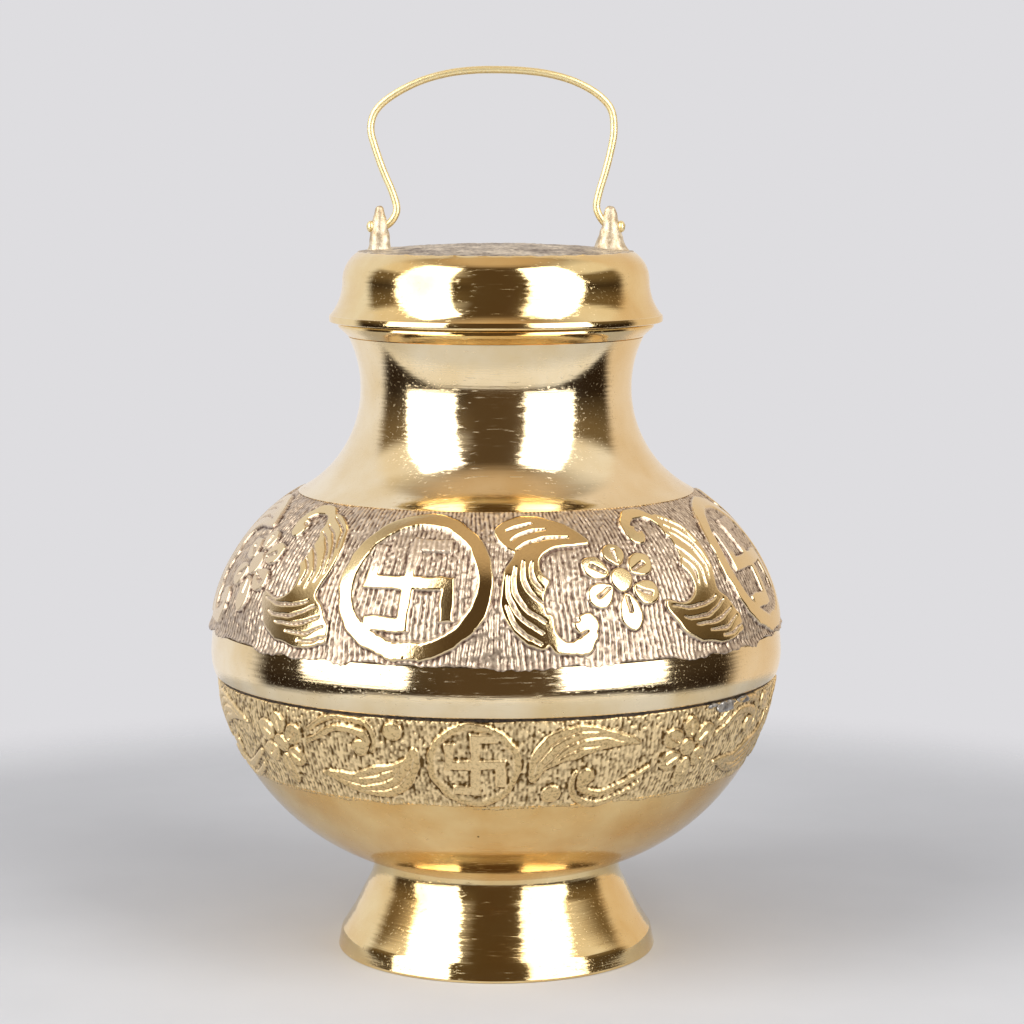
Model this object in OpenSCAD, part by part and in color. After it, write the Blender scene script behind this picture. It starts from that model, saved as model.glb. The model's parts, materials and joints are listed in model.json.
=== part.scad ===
// Brass gangajali: a round-bellied pot for carrying river water, with a screw lid and a wire bail.
// Every casting is a turned shape about the Z axis. The pot stands at Z = 0, and the bail swings about X.

/* [Foot] */
// Radius of the foot where it stands
foot_rim_r = 34.9; // [32:0.1:42]
// Radius of the foot where the bowl sits on it
foot_waist_r = 26.8; // [22:0.1:29]
// Height of the foot
foot_h = 20.2; // [17:0.1:30]
// Height of the plain band around the bottom of the foot
foot_band_h = 4.1; // [2:0.1:6]
// How much narrower that band is at its top
foot_band_inset = 0.6; // [0.2:0.1:1.5]
// Radius of the hollow curve below the waist of the foot
foot_curve_r = 12; // [8:0.5:14]
// Wall of the foot
foot_wall = 2.4; // [1.6:0.1:3]
// Leg of the solder fillet inside the foot
foot_solder_leg = 2.2; // [1:0.1:4]

/* [Bowl] */
// Height of the bowl from the foot to the seam under the belt
bowl_h = 41; // [34:0.5:46]
// How far the bowl's rim lies behind the lower edge of the belt
seam_step = 0.3; // [0.1:0.1:0.8]
// Radius of the bowl's round side
bowl_curve_r = 49.2; // [46:0.1:56]
// Wall of the cast body
body_wall = 2.2; // [1.8:0.1:3]
// Thickness of the bowl's floor
bowl_floor = 2.4; // [1.8:0.1:4]
// How far the bowl's thin rim reaches up inside the belt
lap_h = 5; // [3:0.1:7]
// Wall of that rim
lap_wall = 1.6; // [1.2:0.1:2]
// Thickness of the solder in the seam
solder_t = 0.4; // [0.2:0.1:0.8]

/* [Upper body] */
// Radius at the top of the belt, the widest turned part
belt_r = 62; // [54:0.1:70]
// Height of the belt
belt_h = 10.4; // [9:0.1:14]
// How much narrower the belt is at its lower edge
belt_taper = 0.6; // [0.2:0.1:0.8]
// Radius of the belt's barrel curve, seen from the side
belt_curve_r = 60; // [40:1:120]
// How far the relief band's lower edge stands out over the belt
band_lip = 0.3; // [0.1:0.1:0.8]
// Radius of the round shoulder
shoulder_curve_r = 41; // [38:0.1:44]
// How far the shoulder's centre lies below the top of the belt
shoulder_drop = 6; // [4:0.1:8]
// Radius of the neck at its waist
neck_waist_r = 29.4; // [26:0.1:33]
// Radius of the neck's hollow curve
neck_curve_r = 25; // [22:0.1:28]
// Height from the neck's waist to its top
neck_flare_h = 11; // [9.5:0.1:12.5]
// Wall at the top of the neck, around the collar's sleeve
neck_mouth_wall = 2.85; // [2.4:0.05:3.2]

/* [Mouth collar] */
// Wall of the sleeve that fits inside the neck
sleeve_wall = 1.6; // [1.2:0.1:2]
// Depth of that sleeve
sleeve_h = 3.5; // [2.5:0.1:5]
// Wall of the collar under its thread
collar_wall = 2.6; // [2.2:0.1:3]
// Height of the plain collar above its thread
collar_lip = 1.1; // [0.5:0.1:2]
// How far the flared seat stands out from the top of the neck
seat_flare = 2.25; // [1.5:0.05:3]
// Height of the flared seat
seat_h = 2.9; // [2:0.1:5]
// Height of the plain edge around the seat
seat_edge_h = 0.7; // [0.3:0.1:1.2]

/* [Thread] */
// Rise of the thread in one turn
thread_pitch = 3; // [2.8:0.1:3.2]
// Turns of ridge on the collar and in the lid
thread_turns = 2; // [1.5:0.25:2]
// Depth of the ridge
thread_depth = 0.9; // [0.7:0.05:1]
// Width of the ridge at its root
thread_root_w = 1.2; // [0.9:0.05:1.25]
// Width of the ridge at its crest
thread_crest_w = 0.7; // [0.4:0.05:0.8]
// Height of the plain collar below the ridge
thread_lead = 1.5; // [1.2:0.1:1.8]

/* [Lid] */
// How far the lid's rim stands out over the seat
lid_overhang = 1.9; // [1:0.1:4]
// Height of the rim's edge
lid_rim_h = 1.6; // [1:0.1:3]
// Step from the rim's edge to the lid's side
lid_rim_step = 0.3; // [0.1:0.1:0.6]
// Wall of the lid's side at its waist, outside the thread
lid_wall = 2; // [1.6:0.1:3]
// Radius of the round from the side to the crown
lid_round_r = 7.3; // [6.4:0.1:8.5]
// How far the edge of the crown lies in from the waist
crown_inset = 3.5; // [2.8:0.1:4.5]
// Thickness of the lid over the washer, at the edge of the crown
lid_roof = 4; // [3.4:0.1:6]
// Rise of the crown to its middle
crown_rise = 1.6; // [0.6:0.1:3]
// Thickness of the crown's wall
crown_wall = 2.4; // [1.8:0.1:2.6]

/* [Seal] */
// Thickness of the sealing washer
washer_t = 2.2; // [1.6:0.1:2.6]
// How far the washer reaches in past the mouth
washer_reach = 1; // [0.5:0.1:2]
// How far the washer's outside lies in from the collar's
washer_edge = 0.6; // [0.3:0.1:1]

/* [Ears] */
// Distance of the ears from the edge of the crown
ear_inset = 4.5; // [3.8:0.1:6]
// Height of the ears above the edge of the crown
ear_h = 9.8; // [9:0.1:13]
// Radius of an ear above its flared base
ear_root_r = 2.3; // [2:0.1:2.8]
// Radius of an ear's round tip
ear_tip_r = 0.8; // [0.5:0.1:1.2]
// Radius of the flare at an ear's base
ear_flare_r = 1.6; // [0.8:0.1:2]
// Height of the wire's hole above the edge of the crown
ear_hole_h = 5.3; // [5:0.1:6]

/* [Bail] */
// Diameter of the wire
wire_d = 1.6; // [1.2:0.1:2]
// Height of the bail's wire above its pivots
bail_h = 33.4; // [30:0.1:40]
// Radius of the flat arch over the top
arch_r = 80; // [70:1:100]
// How far the arch turns on each side
arch_turn = 9; // [7:0.5:11]
// Radius of the haunch beside the arch
haunch_r = 25; // [23:0.1:27]
// How far the bail has turned at the end of the haunch
haunch_turn = 36; // [32:0.5:40]
// Radius of the tight corner above each leg
corner_r = 6.5; // [4:0.1:8]
// Radius of the wire's bend into the ear
hook_r = 2.5; // [2.2:0.1:3.2]
// Radius of the peened bead on each end of the wire
bead_r = 1.3; // [1.1:0.05:1.6]

/* [Fits] */
// Radial clearance of the wire in its holes
wire_clear = 0.08; // [0.03:0.01:0.1]
// Gap beside each ear for the wire's bend and its bead
ear_side_gap = 0.4; // [0.3:0.1:0.8]
// Radial clearance of the soldered and brazed joints
joint_clear = 0.1; // [0.05:0.05:0.15]
// Clearance of the brazed joint under an ear
braze_clear = 0.02; // [0.01:0.01:0.05]
// Gap between the lid's rim and the collar's seat when the lid is screwed down
lid_gap = 0.3; // [0.2:0.1:0.6]
// Radial clearance of the screw thread
thread_clear = 0.3; // [0.25:0.05:0.4]
// Radial clearance of the washer in the lid
washer_clear = 0.3; // [0.2:0.05:0.5]

/* [Hidden] */
brass = "#c9a455";
cast_brass = "#a88d5c";
wire_brass = "#d6b45c";
solder_grey = "#8d8b86";
rubber_red = "#7a3226";

round_steps = 20;
lathe_fn = 96;
helix_steps = 48;
helix_root_sink = 0.3;
thread_end_gap = 0.1;
wire_joint_bulge = 0.02;
cut_over = 1;

// Heights of the joints, from the ground up
bowl_z = foot_h;
seam_z = bowl_z + bowl_h;
belt_z = seam_z + solder_t;
belt_top_z = belt_z + belt_h;

// Shoulder and neck are two arcs that meet smoothly
shoulder_c = [
    belt_r + band_lip - sqrt(pow(shoulder_curve_r, 2) - pow(shoulder_drop, 2)),
    belt_top_z - shoulder_drop
];
neck_c_r = neck_waist_r + neck_curve_r;
neck_c = [
    neck_c_r,
    shoulder_c[1] + sqrt(pow(shoulder_curve_r + neck_curve_r, 2) - pow(neck_c_r - shoulder_c[0], 2))
];
shoulder_end_a = atan2(neck_c[1] - shoulder_c[1], neck_c[0] - shoulder_c[0]);
shoulder_start_a = asin(shoulder_drop / shoulder_curve_r);
neck_start_a = 180 + shoulder_end_a;
neck_end_a = 180 - asin(neck_flare_h / neck_curve_r);
neck_top_z = neck_c[1] + neck_flare_h;
neck_top_r = neck_c[0] + neck_curve_r * cos(neck_end_a);

// Bowl's rim and the lap joint behind the belt
bowl_rim_r = belt_r - belt_taper - seam_step;
lap_bore_r = belt_r - body_wall;
lap_r = lap_bore_r - joint_clear;
lap_in_r = lap_r - lap_wall;
lap_top_z = belt_z + lap_h;

// Mouth collar and its seat
sleeve_z = neck_top_z - sleeve_h;
sleeve_bore_r = neck_top_r - neck_mouth_wall;
sleeve_r = sleeve_bore_r - joint_clear;
mouth_r = sleeve_r - sleeve_wall;
collar_r = mouth_r + collar_wall;
collar_h = thread_lead + thread_pitch * thread_turns + thread_root_w / 2 + collar_lip;
seat_r = neck_top_r + seat_flare;
seat_z = neck_top_z + seat_h;
collar_top_z = seat_z + collar_h;

// Washer on top of the collar
washer_z = collar_top_z;
washer_in_r = mouth_r - washer_reach;
washer_out_r = collar_r - washer_edge;

// Lid
lid_z = seat_z + lid_gap;
lid_rim_r = seat_r + lid_overhang;
lid_bore_r = collar_r + thread_depth + thread_clear;
lid_thread_turn = (lid_gap + thread_root_w / 2 + thread_end_gap - thread_lead) / thread_pitch + 1 / 2;
ceiling_z = washer_z + washer_t;
recess_r = washer_out_r + washer_clear;
bore_top_z = collar_top_z + thread_clear;
crown_z = ceiling_z + lid_roof;
lid_waist_r = lid_bore_r + lid_wall;
lid_crown_r = lid_waist_r - crown_inset;
lid_round_c_r = lid_waist_r - lid_round_r;
lid_round_a = acos((lid_crown_r - lid_round_c_r) / lid_round_r);
lid_waist_z = crown_z - lid_round_r * sin(lid_round_a);
lid_side_r = lid_rim_r - lid_rim_step;
lid_side_z = lid_z + lid_rim_h;
lid_hollow_w = lid_side_r - lid_waist_r;
lid_hollow_h = lid_waist_z - lid_side_z;
lid_hollow_r = (pow(lid_hollow_w, 2) + pow(lid_hollow_h, 2)) / (2 * lid_hollow_w);
lid_hollow_a = asin(lid_hollow_h / lid_hollow_r);
crown_ball_r = (pow(lid_crown_r, 2) + pow(crown_rise, 2)) / (2 * crown_rise);
crown_ball_z = crown_z + crown_rise - crown_ball_r;

// Wire, holes and the pivot axis of the bail
wire_r = wire_d / 2;
hole_r = wire_r + wire_clear;
pivot_z = crown_z + ear_hole_h;
ear_x = lid_crown_r - ear_inset;
ear_tip_z = crown_z + ear_h;
ear_seat_z = crown_ball_z + sqrt(pow(crown_ball_r, 2) - pow(ear_x, 2));
ear_taper_z = ear_seat_z + ear_flare_r;
ear_taper_top_z = ear_tip_z - ear_tip_r;
ear_slope = (ear_root_r - ear_tip_r) / (ear_taper_top_z - ear_taper_z);
ear_half_at_hole = ear_tip_r + ear_slope * (ear_taper_top_z - pivot_z + hole_r);
hook_x = ear_x - ear_half_at_hole - ear_side_gap;
bead_x = ear_x + ear_half_at_hole + ear_side_gap;

// Right half of the bail as arcs that run on from each other, from the top of the arch to the hook
arch_c = [0, pivot_z + bail_h - arch_r];
haunch_top = arch_c + arch_r * [sin(arch_turn), cos(arch_turn)];
haunch_c = haunch_top - haunch_r * [sin(arch_turn), cos(arch_turn)];
corner_top = haunch_c + haunch_r * [sin(haunch_turn), cos(haunch_turn)];
corner_c = corner_top - corner_r * [sin(haunch_turn), cos(haunch_turn)];
hook_c = [hook_x, pivot_z + hook_r];
corner_to_hook = hook_c - corner_c;
leg_turn = atan2(-corner_to_hook[1], corner_to_hook[0]) + asin((corner_r + hook_r) / norm(corner_to_hook));
leg_top = corner_c + corner_r * [sin(leg_turn), cos(leg_turn)];
leg_foot = hook_c - hook_r * [sin(leg_turn), cos(leg_turn)];

// Points along an arc from angle a0 to angle a1
function arc(c, r, a0, a1, n = round_steps) =
    [for (i = [0:n]) c + r * [cos(a0 + (a1 - a0) * i / n), sin(a0 + (a1 - a0) * i / n)]];

// The same list without its first point
function tail(points) = [for (i = [1:len(points) - 1]) points[i]];

// Centre of the arc of radius r from point a up to point b, bulging outwards
function arc_centre(a, b, r) =
    let (half = (b - a) / 2)
    let (rise = sqrt(r * r - half * half))
    a + half + rise * [-half[1], half[0]] / norm(half);

// Angle of point p seen from c
function angle_of(c, p) = atan2(p[1] - c[1], p[0] - c[0]);

// A turned shape from its half outline
module turned(outline) {
    rotate_extrude($fn = lathe_fn) polygon(outline);
}

// Screw ridge with slanted flanks: root radius, crest radius and the height of its first middle
module thread_ridge(root_r, crest_r, z0, start_turn) {
    steps = ceil(helix_steps * thread_turns);
    points = [
        for (i = [0:steps])
            let (turn = start_turn + thread_turns * i / steps)
            let (z = z0 + thread_pitch * turn)
            for (p = [
                [root_r, -thread_root_w / 2], [crest_r, -thread_crest_w / 2],
                [crest_r, thread_crest_w / 2], [root_r, thread_root_w / 2]
            ])
                [p[0] * cos(360 * turn), p[0] * sin(360 * turn), z + p[1]]
    ];
    outward = crest_r > root_r;
    sides = [
        for (i = [0:steps - 1])
            for (k = [0:3])
                let (a = 4 * i + k)
                let (b = 4 * i + (k + 1) % 4)
                for (f = [[a, b, b + 4], [a, b + 4, a + 4]]) f
    ];
    ends = [[0, 2, 1], [0, 3, 2], [4 * steps, 4 * steps + 1, 4 * steps + 2], [4 * steps, 4 * steps + 2, 4 * steps + 3]];
    faces = concat(sides, ends);
    polyhedron(points, outward ? faces : [for (f = faces) [f[2], f[1], f[0]]]);
}

// Hollow foot: a curved waist, a straight flare and a plain band
module foot() {
    c = [foot_waist_r + foot_curve_r, foot_h];
    band = [foot_rim_r - foot_band_inset, foot_band_h];
    flare_a = 360 + angle_of(c, band) - acos(foot_curve_r / norm(band - c));
    inward = foot_wall * [cos(flare_a), sin(flare_a)];
    color(brass) turned(concat(
        [[foot_rim_r, 0], band],
        arc(c, foot_curve_r, flare_a, 180),
        arc(c, foot_curve_r + foot_wall, 180, flare_a),
        [band + inward, [foot_rim_r - foot_wall, 0]]
    ));
}

// Fillet of solder between the foot's inside and the bowl's floor
module foot_solder() {
    r = foot_waist_r - foot_wall - joint_clear;
    color(solder_grey) turned([
        [r, foot_h], [r - foot_solder_leg, foot_h], [r, foot_h - foot_solder_leg]
    ]);
}

// Lower half of the body, with a thin rim that goes up inside the belt
module bowl() {
    start = [foot_waist_r, bowl_z];
    end = [bowl_rim_r, seam_z];
    c = arc_centre(start, end, bowl_curve_r);
    in_r = bowl_curve_r - body_wall;
    floor_a = -asin((c[1] - bowl_z - bowl_floor) / in_r);
    lap_a = -acos((lap_in_r - c[0]) / in_r);
    color(brass) turned(concat(
        [[0, bowl_z]],
        arc(c, bowl_curve_r, angle_of(c, start), angle_of(c, end)),
        [[lap_r, seam_z], [lap_r, lap_top_z], [lap_in_r, lap_top_z]],
        arc(c, in_r, lap_a, floor_a),
        [[0, bowl_z + bowl_floor]]
    ));
}

// Ring of solder in the seam under the belt
module belly_solder() {
    color(solder_grey) turned([
        [lap_bore_r, seam_z], [bowl_rim_r, seam_z], [bowl_rim_r, belt_z], [lap_bore_r, belt_z]
    ]);
}

// Belt, shoulder and neck in one casting, bored at the top for the collar's sleeve
module upper_body() {
    in_shoulder_r = shoulder_curve_r - body_wall;
    in_neck_r = neck_curve_r + body_wall;
    bore_a = acos((lap_bore_r - shoulder_c[0]) / in_shoulder_r);
    sleeve_a = 180 - asin((sleeve_z - neck_c[1]) / in_neck_r);
    belt_foot = [belt_r - belt_taper, belt_z];
    belt_head = [belt_r, belt_top_z];
    belt_c = arc_centre(belt_foot, belt_head, belt_curve_r);
    color(brass) turned(concat(
        arc(belt_c, belt_curve_r, angle_of(belt_c, belt_foot), angle_of(belt_c, belt_head)),
        arc(shoulder_c, shoulder_curve_r, shoulder_start_a, shoulder_end_a),
        tail(arc(neck_c, neck_curve_r, neck_start_a, neck_end_a)),
        [[sleeve_bore_r, neck_top_z], [sleeve_bore_r, sleeve_z]],
        arc(neck_c, in_neck_r, sleeve_a, neck_start_a),
        tail(arc(shoulder_c, in_shoulder_r, shoulder_end_a, bore_a)),
        [[lap_bore_r, belt_z]]
    ));
}

// Screwed collar of the mouth, with the flared seat that shows under the lid
module neck_collar() {
    color(brass) union() {
        turned([
            [mouth_r, sleeve_z], [sleeve_r, sleeve_z], [sleeve_r, neck_top_z], [neck_top_r, neck_top_z],
            [seat_r, seat_z - seat_edge_h], [seat_r, seat_z], [collar_r, seat_z],
            [collar_r, collar_top_z], [mouth_r, collar_top_z]
        ]);
        thread_ridge(collar_r - helix_root_sink, collar_r + thread_depth, seat_z + thread_lead, 0);
    }
}

// Outside of the lid as a solid, down to a given height
function lid_outline(bottom_z) = concat(
    [[0, bottom_z], [lid_rim_r, bottom_z], [lid_rim_r, lid_side_z]],
    arc([lid_waist_r + lid_hollow_r, lid_waist_z], lid_hollow_r, 180 + lid_hollow_a, 180),
    tail(arc([lid_round_c_r, lid_waist_z], lid_round_r, 0, lid_round_a)),
    tail(arc([0, crown_ball_z], crown_ball_r, acos(lid_crown_r / crown_ball_r), 90))
);

// Screw lid: bored for the thread, with a recess for the washer and a hollow crown
module lid() {
    hollow_r = washer_in_r;
    hollow_ball_r = crown_ball_r - crown_wall;
    hollow_a = acos((hollow_r - crown_wall) / hollow_ball_r);
    color(brass) union() {
        difference() {
            turned(lid_outline(lid_z));
            turned(concat(
                [
                    [0, lid_z - cut_over], [lid_bore_r, lid_z - cut_over], [lid_bore_r, bore_top_z],
                    [recess_r, bore_top_z], [recess_r, ceiling_z], [hollow_r, ceiling_z]
                ],
                arc([0, crown_ball_z], hollow_ball_r, hollow_a, 90)
            ));
        }
        thread_ridge(
            lid_bore_r + helix_root_sink, lid_bore_r - thread_depth,
            seat_z + thread_lead - thread_pitch / 2, lid_thread_turn
        );
    }
}

// Rubber ring between the collar's top and the lid
module seal_washer() {
    color(rubber_red) turned([
        [washer_in_r, washer_z], [washer_out_r, washer_z], [washer_out_r, ceiling_z], [washer_in_r, ceiling_z]
    ]);
}

// Pointed ear with a flared base, cut to the crown and drilled for the wire
module ear(side) {
    flare_r = ear_root_r + ear_flare_r;
    base_z = crown_z - cut_over;
    color(cast_brass) difference() {
        translate([side * ear_x, 0, 0]) turned(concat(
            [[0, base_z], [flare_r, base_z]],
            arc([flare_r, ear_taper_z], ear_flare_r, 270, 180),
            arc([0, ear_taper_top_z], ear_tip_r, 0, 90)
        ));
        translate([0, 0, braze_clear]) turned(lid_outline(lid_z));
        translate([side * ear_x, 0, pivot_z]) rotate([0, 90, 0])
            cylinder(r = hole_r, h = 2 * flare_r, center = true, $fn = lathe_fn);
    }
}

module ear_left() {
    ear(-1);
}

module ear_right() {
    ear(1);
}

// Bent stretch of wire in the XZ plane, clockwise from angle a0, both measured from straight up
module wire_bend(c, r, a0, a1) {
    translate([c[0], 0, c[1]]) rotate([90, 0, 0]) rotate([0, 0, 90 - a1])
        rotate_extrude(angle = a1 - a0, $fn = lathe_fn) translate([r, 0]) circle(r = wire_r, $fn = lathe_fn);
}

// Straight stretch of wire in the XZ plane
module wire_run(a, b) {
    translate([a[0], 0, a[1]]) rotate([0, atan2(b[0] - a[0], b[1] - a[1]), 0])
        cylinder(r = wire_r, h = norm(b - a), $fn = lathe_fn);
}

// Ball that closes the joint between two stretches of wire, a hair fuller than the wire
module wire_joint(p) {
    translate([p[0], 0, p[1]]) sphere(r = wire_r + wire_joint_bulge, $fn = lathe_fn);
}

// One side of the bail: haunch, corner, leg, hook, pivot and peened bead
module bail_side() {
    wire_bend(haunch_c, haunch_r, arch_turn, haunch_turn);
    wire_bend(corner_c, corner_r, haunch_turn, leg_turn);
    wire_run(leg_top, leg_foot);
    wire_bend(hook_c, hook_r, 180, 180 + leg_turn);
    wire_run([hook_x, pivot_z], [bead_x + wire_r, pivot_z]);
    for (p = [haunch_top, corner_top, leg_top, leg_foot, [hook_x, pivot_z]])
        wire_joint(p);
    translate([bead_x, 0, pivot_z]) rotate([0, 90, 0])
        turned(concat([[0, 0]], arc([0, 0], bead_r, 0, 90)));
}

module bail() {
    color(wire_brass) union() {
        wire_bend(arch_c, arch_r, -arch_turn, arch_turn);
        bail_side();
        mirror([1, 0, 0]) bail_side();
    }
}

foot();
foot_solder();
bowl();
belly_solder();
upper_body();
neck_collar();
lid();
seal_washer();
ear_left();
ear_right();
bail();
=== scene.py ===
# %% [markdown]
# A brass pot for carrying river water home from a pilgrimage: a cast foot, a bowl and an upper body
# soldered together under a smooth belt, two bands of relief, a waisted neck, and a screw lid with a
# wire handle. The solids come from the CAD model and are loaded first. They are the fixed frame that
# every piece below is fitted to, so nothing here has to be measured or placed by eye again.

# %% Load the CAD frame
import json
import math

import bpy
import numpy as np
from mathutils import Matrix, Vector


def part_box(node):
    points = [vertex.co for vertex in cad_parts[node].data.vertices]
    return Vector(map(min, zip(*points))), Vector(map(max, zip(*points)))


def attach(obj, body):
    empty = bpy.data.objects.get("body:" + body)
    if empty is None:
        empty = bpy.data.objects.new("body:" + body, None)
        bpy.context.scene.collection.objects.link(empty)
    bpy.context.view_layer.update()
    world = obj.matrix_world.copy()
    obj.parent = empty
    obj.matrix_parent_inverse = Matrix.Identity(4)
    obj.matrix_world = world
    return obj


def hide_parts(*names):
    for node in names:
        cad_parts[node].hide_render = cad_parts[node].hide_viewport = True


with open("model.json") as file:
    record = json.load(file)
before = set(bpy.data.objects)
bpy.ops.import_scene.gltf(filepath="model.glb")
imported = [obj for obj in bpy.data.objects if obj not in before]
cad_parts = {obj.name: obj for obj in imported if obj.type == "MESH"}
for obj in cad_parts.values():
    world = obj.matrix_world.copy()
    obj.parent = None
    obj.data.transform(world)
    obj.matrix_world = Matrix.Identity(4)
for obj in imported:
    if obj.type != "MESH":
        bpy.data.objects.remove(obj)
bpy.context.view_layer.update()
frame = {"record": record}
MM = 0.001

# %% [markdown]
# The camera stands a little above the lid and looks slightly down, so the floor rises behind the pot.
# A long lens from 65 cm keeps the belly from bulging. The image is taken to be 1024 pixels wide.

# %% Camera
IMAGE_PX = 1024
FOCAL_PX = 3000
SENSOR_MM = 36
camera_data = bpy.data.cameras.new("camera")
camera_data.sensor_width = SENSOR_MM
camera_data.lens = SENSOR_MM * FOCAL_PX / IMAGE_PX
camera = bpy.data.objects.new("camera", camera_data)
camera.location = (0, -0.6501, 0.1742)
camera.rotation_euler = (math.radians(90 - 6.867), 0, -math.radians(0.3056))
bpy.context.scene.collection.objects.link(camera)
bpy.context.scene.camera = camera
bpy.context.scene.view_settings.view_transform = "Standard"
print("lens:", round(camera_data.lens, 1), "mm")

# %% [markdown]
# Colours are written as sRGB hex values, the way a colour picker shows them, and one function turns
# them to the linear light that Blender's shaders work in. The next one fills a node's sockets, another
# adds any shader node with its settings and whatever is plugged into it, and the last starts a material.

# %% Helpers for every material
def linear(hex_code):
    """An sRGB hex colour as linear RGBA."""
    parts = [int(hex_code[i:i + 2], 16) / 255 for i in (1, 3, 5)]
    curve = [p / 12.92 if p <= 0.04045 else ((p + 0.055) / 1.055) ** 2.4 for p in parts]
    return (*curve, 1)


def plug(node, sockets):
    """Fill a node's sockets with values or with other nodes' outputs."""
    for socket, value in sockets.items():
        if isinstance(value, bpy.types.NodeSocket):
            node.id_data.links.new(value, node.inputs[socket])
        else:
            node.inputs[socket].default_value = value


def add_node(tree, kind, sockets=None, **settings):
    """Add one node: settings are its own properties, sockets are values or other nodes' outputs."""
    made = tree.nodes.new(kind)
    for name, value in settings.items():
        setattr(made, name, value)
    plug(made, sockets or {})
    return made


def new_material(name):
    """An empty node material and its Principled shader, already wired to the output."""
    material = bpy.data.materials.new(name)
    material.use_nodes = True
    tree = material.node_tree
    return material, tree, tree.nodes["Principled BSDF"]


print("plain white is", [round(c, 2) for c in linear("#ffffff")])

# %% [markdown]
# Polished metal shows its surroundings more than itself, so the studio matters as much as the
# material. Two tall soft boxes stand left and right of the camera, the room around the camera is
# dim and warm, and the backdrop and the far floor are pale. The world is that room: pale grey straight
# into the lens, and to the metal pale behind and below the pot, a warm ceiling above it, and dim in
# front. The corners beside the soft boxes are dark near the floor and pale high up, where the boxes
# light the side walls, and the right wall is warmer. The far floor ends nearer the pot at its sides.
# A zone runs from 0 to 1 along one axis of the view direction. Each line of the table of colours mixes
# two of them by a zone, and later lines build on earlier ones.

# %% The studio room
BACKDROP = "#DEDDE0"
ZONES = {
    "behind": ("Y", 0.22, 0.42, "SMOOTHSTEP"),
    "overhead": ("Z", 0.84, 0.98, "SMOOTHSTEP"),
    "wall_top": ("Z", 0.40, 0.56, "SMOOTHSTEP"),
    "up_the_wall": ("Z", -0.1, 0.3, "LINEAR"),
    "rightward": ("X", -0.3, 0.5, "LINEAR"),
}
COLOURS = [
    ("corner", "up_the_wall", "#2A1E12", "#76654A"),
    ("side_wall", "wall_top", "corner", "#F4ECE0"),
    ("front", "to_side", "#58462F", "side_wall"),
    ("vault", "overhead", "front", "#D4BC9E"),
    ("back_wall", "rightward", "#F2F0F2", "#EBDAC6"),
    ("walls", "behind", "vault", "back_wall"),
    ("metal_sees", "below", "walls", "#F8F5F3"),
    ("soft_fill", "glossy_ray", "#A5A3A5", "metal_sees"),
    ("seen", "camera_ray", "soft_fill", BACKDROP),
]
world = bpy.data.worlds.new("studio_room")
bpy.context.scene.world = world
world.use_nodes = True
room = world.node_tree
room.nodes.clear()
toward = add_node(room, "ShaderNodeTexCoord")
axes = add_node(room, "ShaderNodeSeparateXYZ", {"Vector": toward.outputs["Generated"]})
zones = {}
for zone, (axis, start, end, ease) in ZONES.items():
    ramp = add_node(room, "ShaderNodeMapRange", {
        "Value": axes.outputs[axis], "From Min": start, "From Max": end}, interpolation_type=ease)
    zones[zone] = ramp.outputs["Result"]
sideways = add_node(room, "ShaderNodeMath", {0: axes.outputs["X"]}, operation="ABSOLUTE")
to_side = add_node(room, "ShaderNodeMapRange", {
    "Value": sideways.outputs["Value"], "From Min": 0.26, "From Max": 0.64})
zones["to_side"] = to_side.outputs["Result"]
nearer_edge = add_node(room, "ShaderNodeMapRange", {
    "Value": axes.outputs["Y"], "From Min": -0.6, "From Max": 0.4, "To Max": 0.3})
under_edge = add_node(room, "ShaderNodeMath", {0: axes.outputs["Z"], 1: nearer_edge.outputs["Result"]},
                      operation="ADD")
below = add_node(room, "ShaderNodeMapRange", {
    "Value": under_edge.outputs["Value"], "From Min": -0.215, "From Max": -0.25})
zones["below"] = below.outputs["Result"]
ray = add_node(room, "ShaderNodeLightPath")
zones["glossy_ray"] = ray.outputs["Is Glossy Ray"]
zones["camera_ray"] = ray.outputs["Is Camera Ray"]
colours = {}
for name, zone, *pair in COLOURS:
    low, high = (colours[tone] if tone in colours else linear(tone) for tone in pair)
    mix = add_node(room, "ShaderNodeMix", {"Factor": zones[zone], "A": low, "B": high}, data_type="RGBA")
    colours[name] = mix.outputs["Result"]
light = add_node(room, "ShaderNodeBackground", {"Color": colours["seen"], "Strength": 1})
add_node(room, "ShaderNodeOutputWorld", {"Surface": light.outputs["Background"]})
print("the room has", len(room.nodes), "nodes")

# %% [markdown]
# Each soft box is an area lamp turned to face the pot. It is given by the direction it stands in, seen
# from the pot, and by the angle it fills, because that is what its reflection shows. Its power follows
# from its area, so that its brightness stays the same whatever its size.

# %% Two soft boxes
BOX_DISTANCE = 0.72
BOX_TOP = 1.30
BOX_BOTTOM = 0.02
BOX_BRIGHTNESS = 4.0


def soft_box(name, bearing, half_angle):
    """A tall lamp at a bearing in degrees from the camera's side, + to the right."""
    width = 2 * BOX_DISTANCE * math.tan(math.radians(half_angle))
    height = BOX_TOP - BOX_BOTTOM
    lamp = bpy.data.lights.new(name, "AREA")
    lamp.shape = "RECTANGLE"
    lamp.size = width
    lamp.size_y = height
    lamp.energy = BOX_BRIGHTNESS * math.pi * width * height
    lamp.color = linear("#FFFDFA")[:3]
    stand = bpy.data.objects.new(name, lamp)
    angle = math.radians(bearing)
    stand.location = (BOX_DISTANCE * math.sin(angle), -BOX_DISTANCE * math.cos(angle),
                      (BOX_TOP + BOX_BOTTOM) / 2)
    stand.rotation_euler = (math.radians(90), 0, angle)
    stand.visible_camera = False
    bpy.context.scene.collection.objects.link(stand)
    print(name, "is", round(width, 2), "m wide")


soft_box("soft_box_left", -56, 22.5)
soft_box("soft_box_right", 45.5, 21.5)

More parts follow.
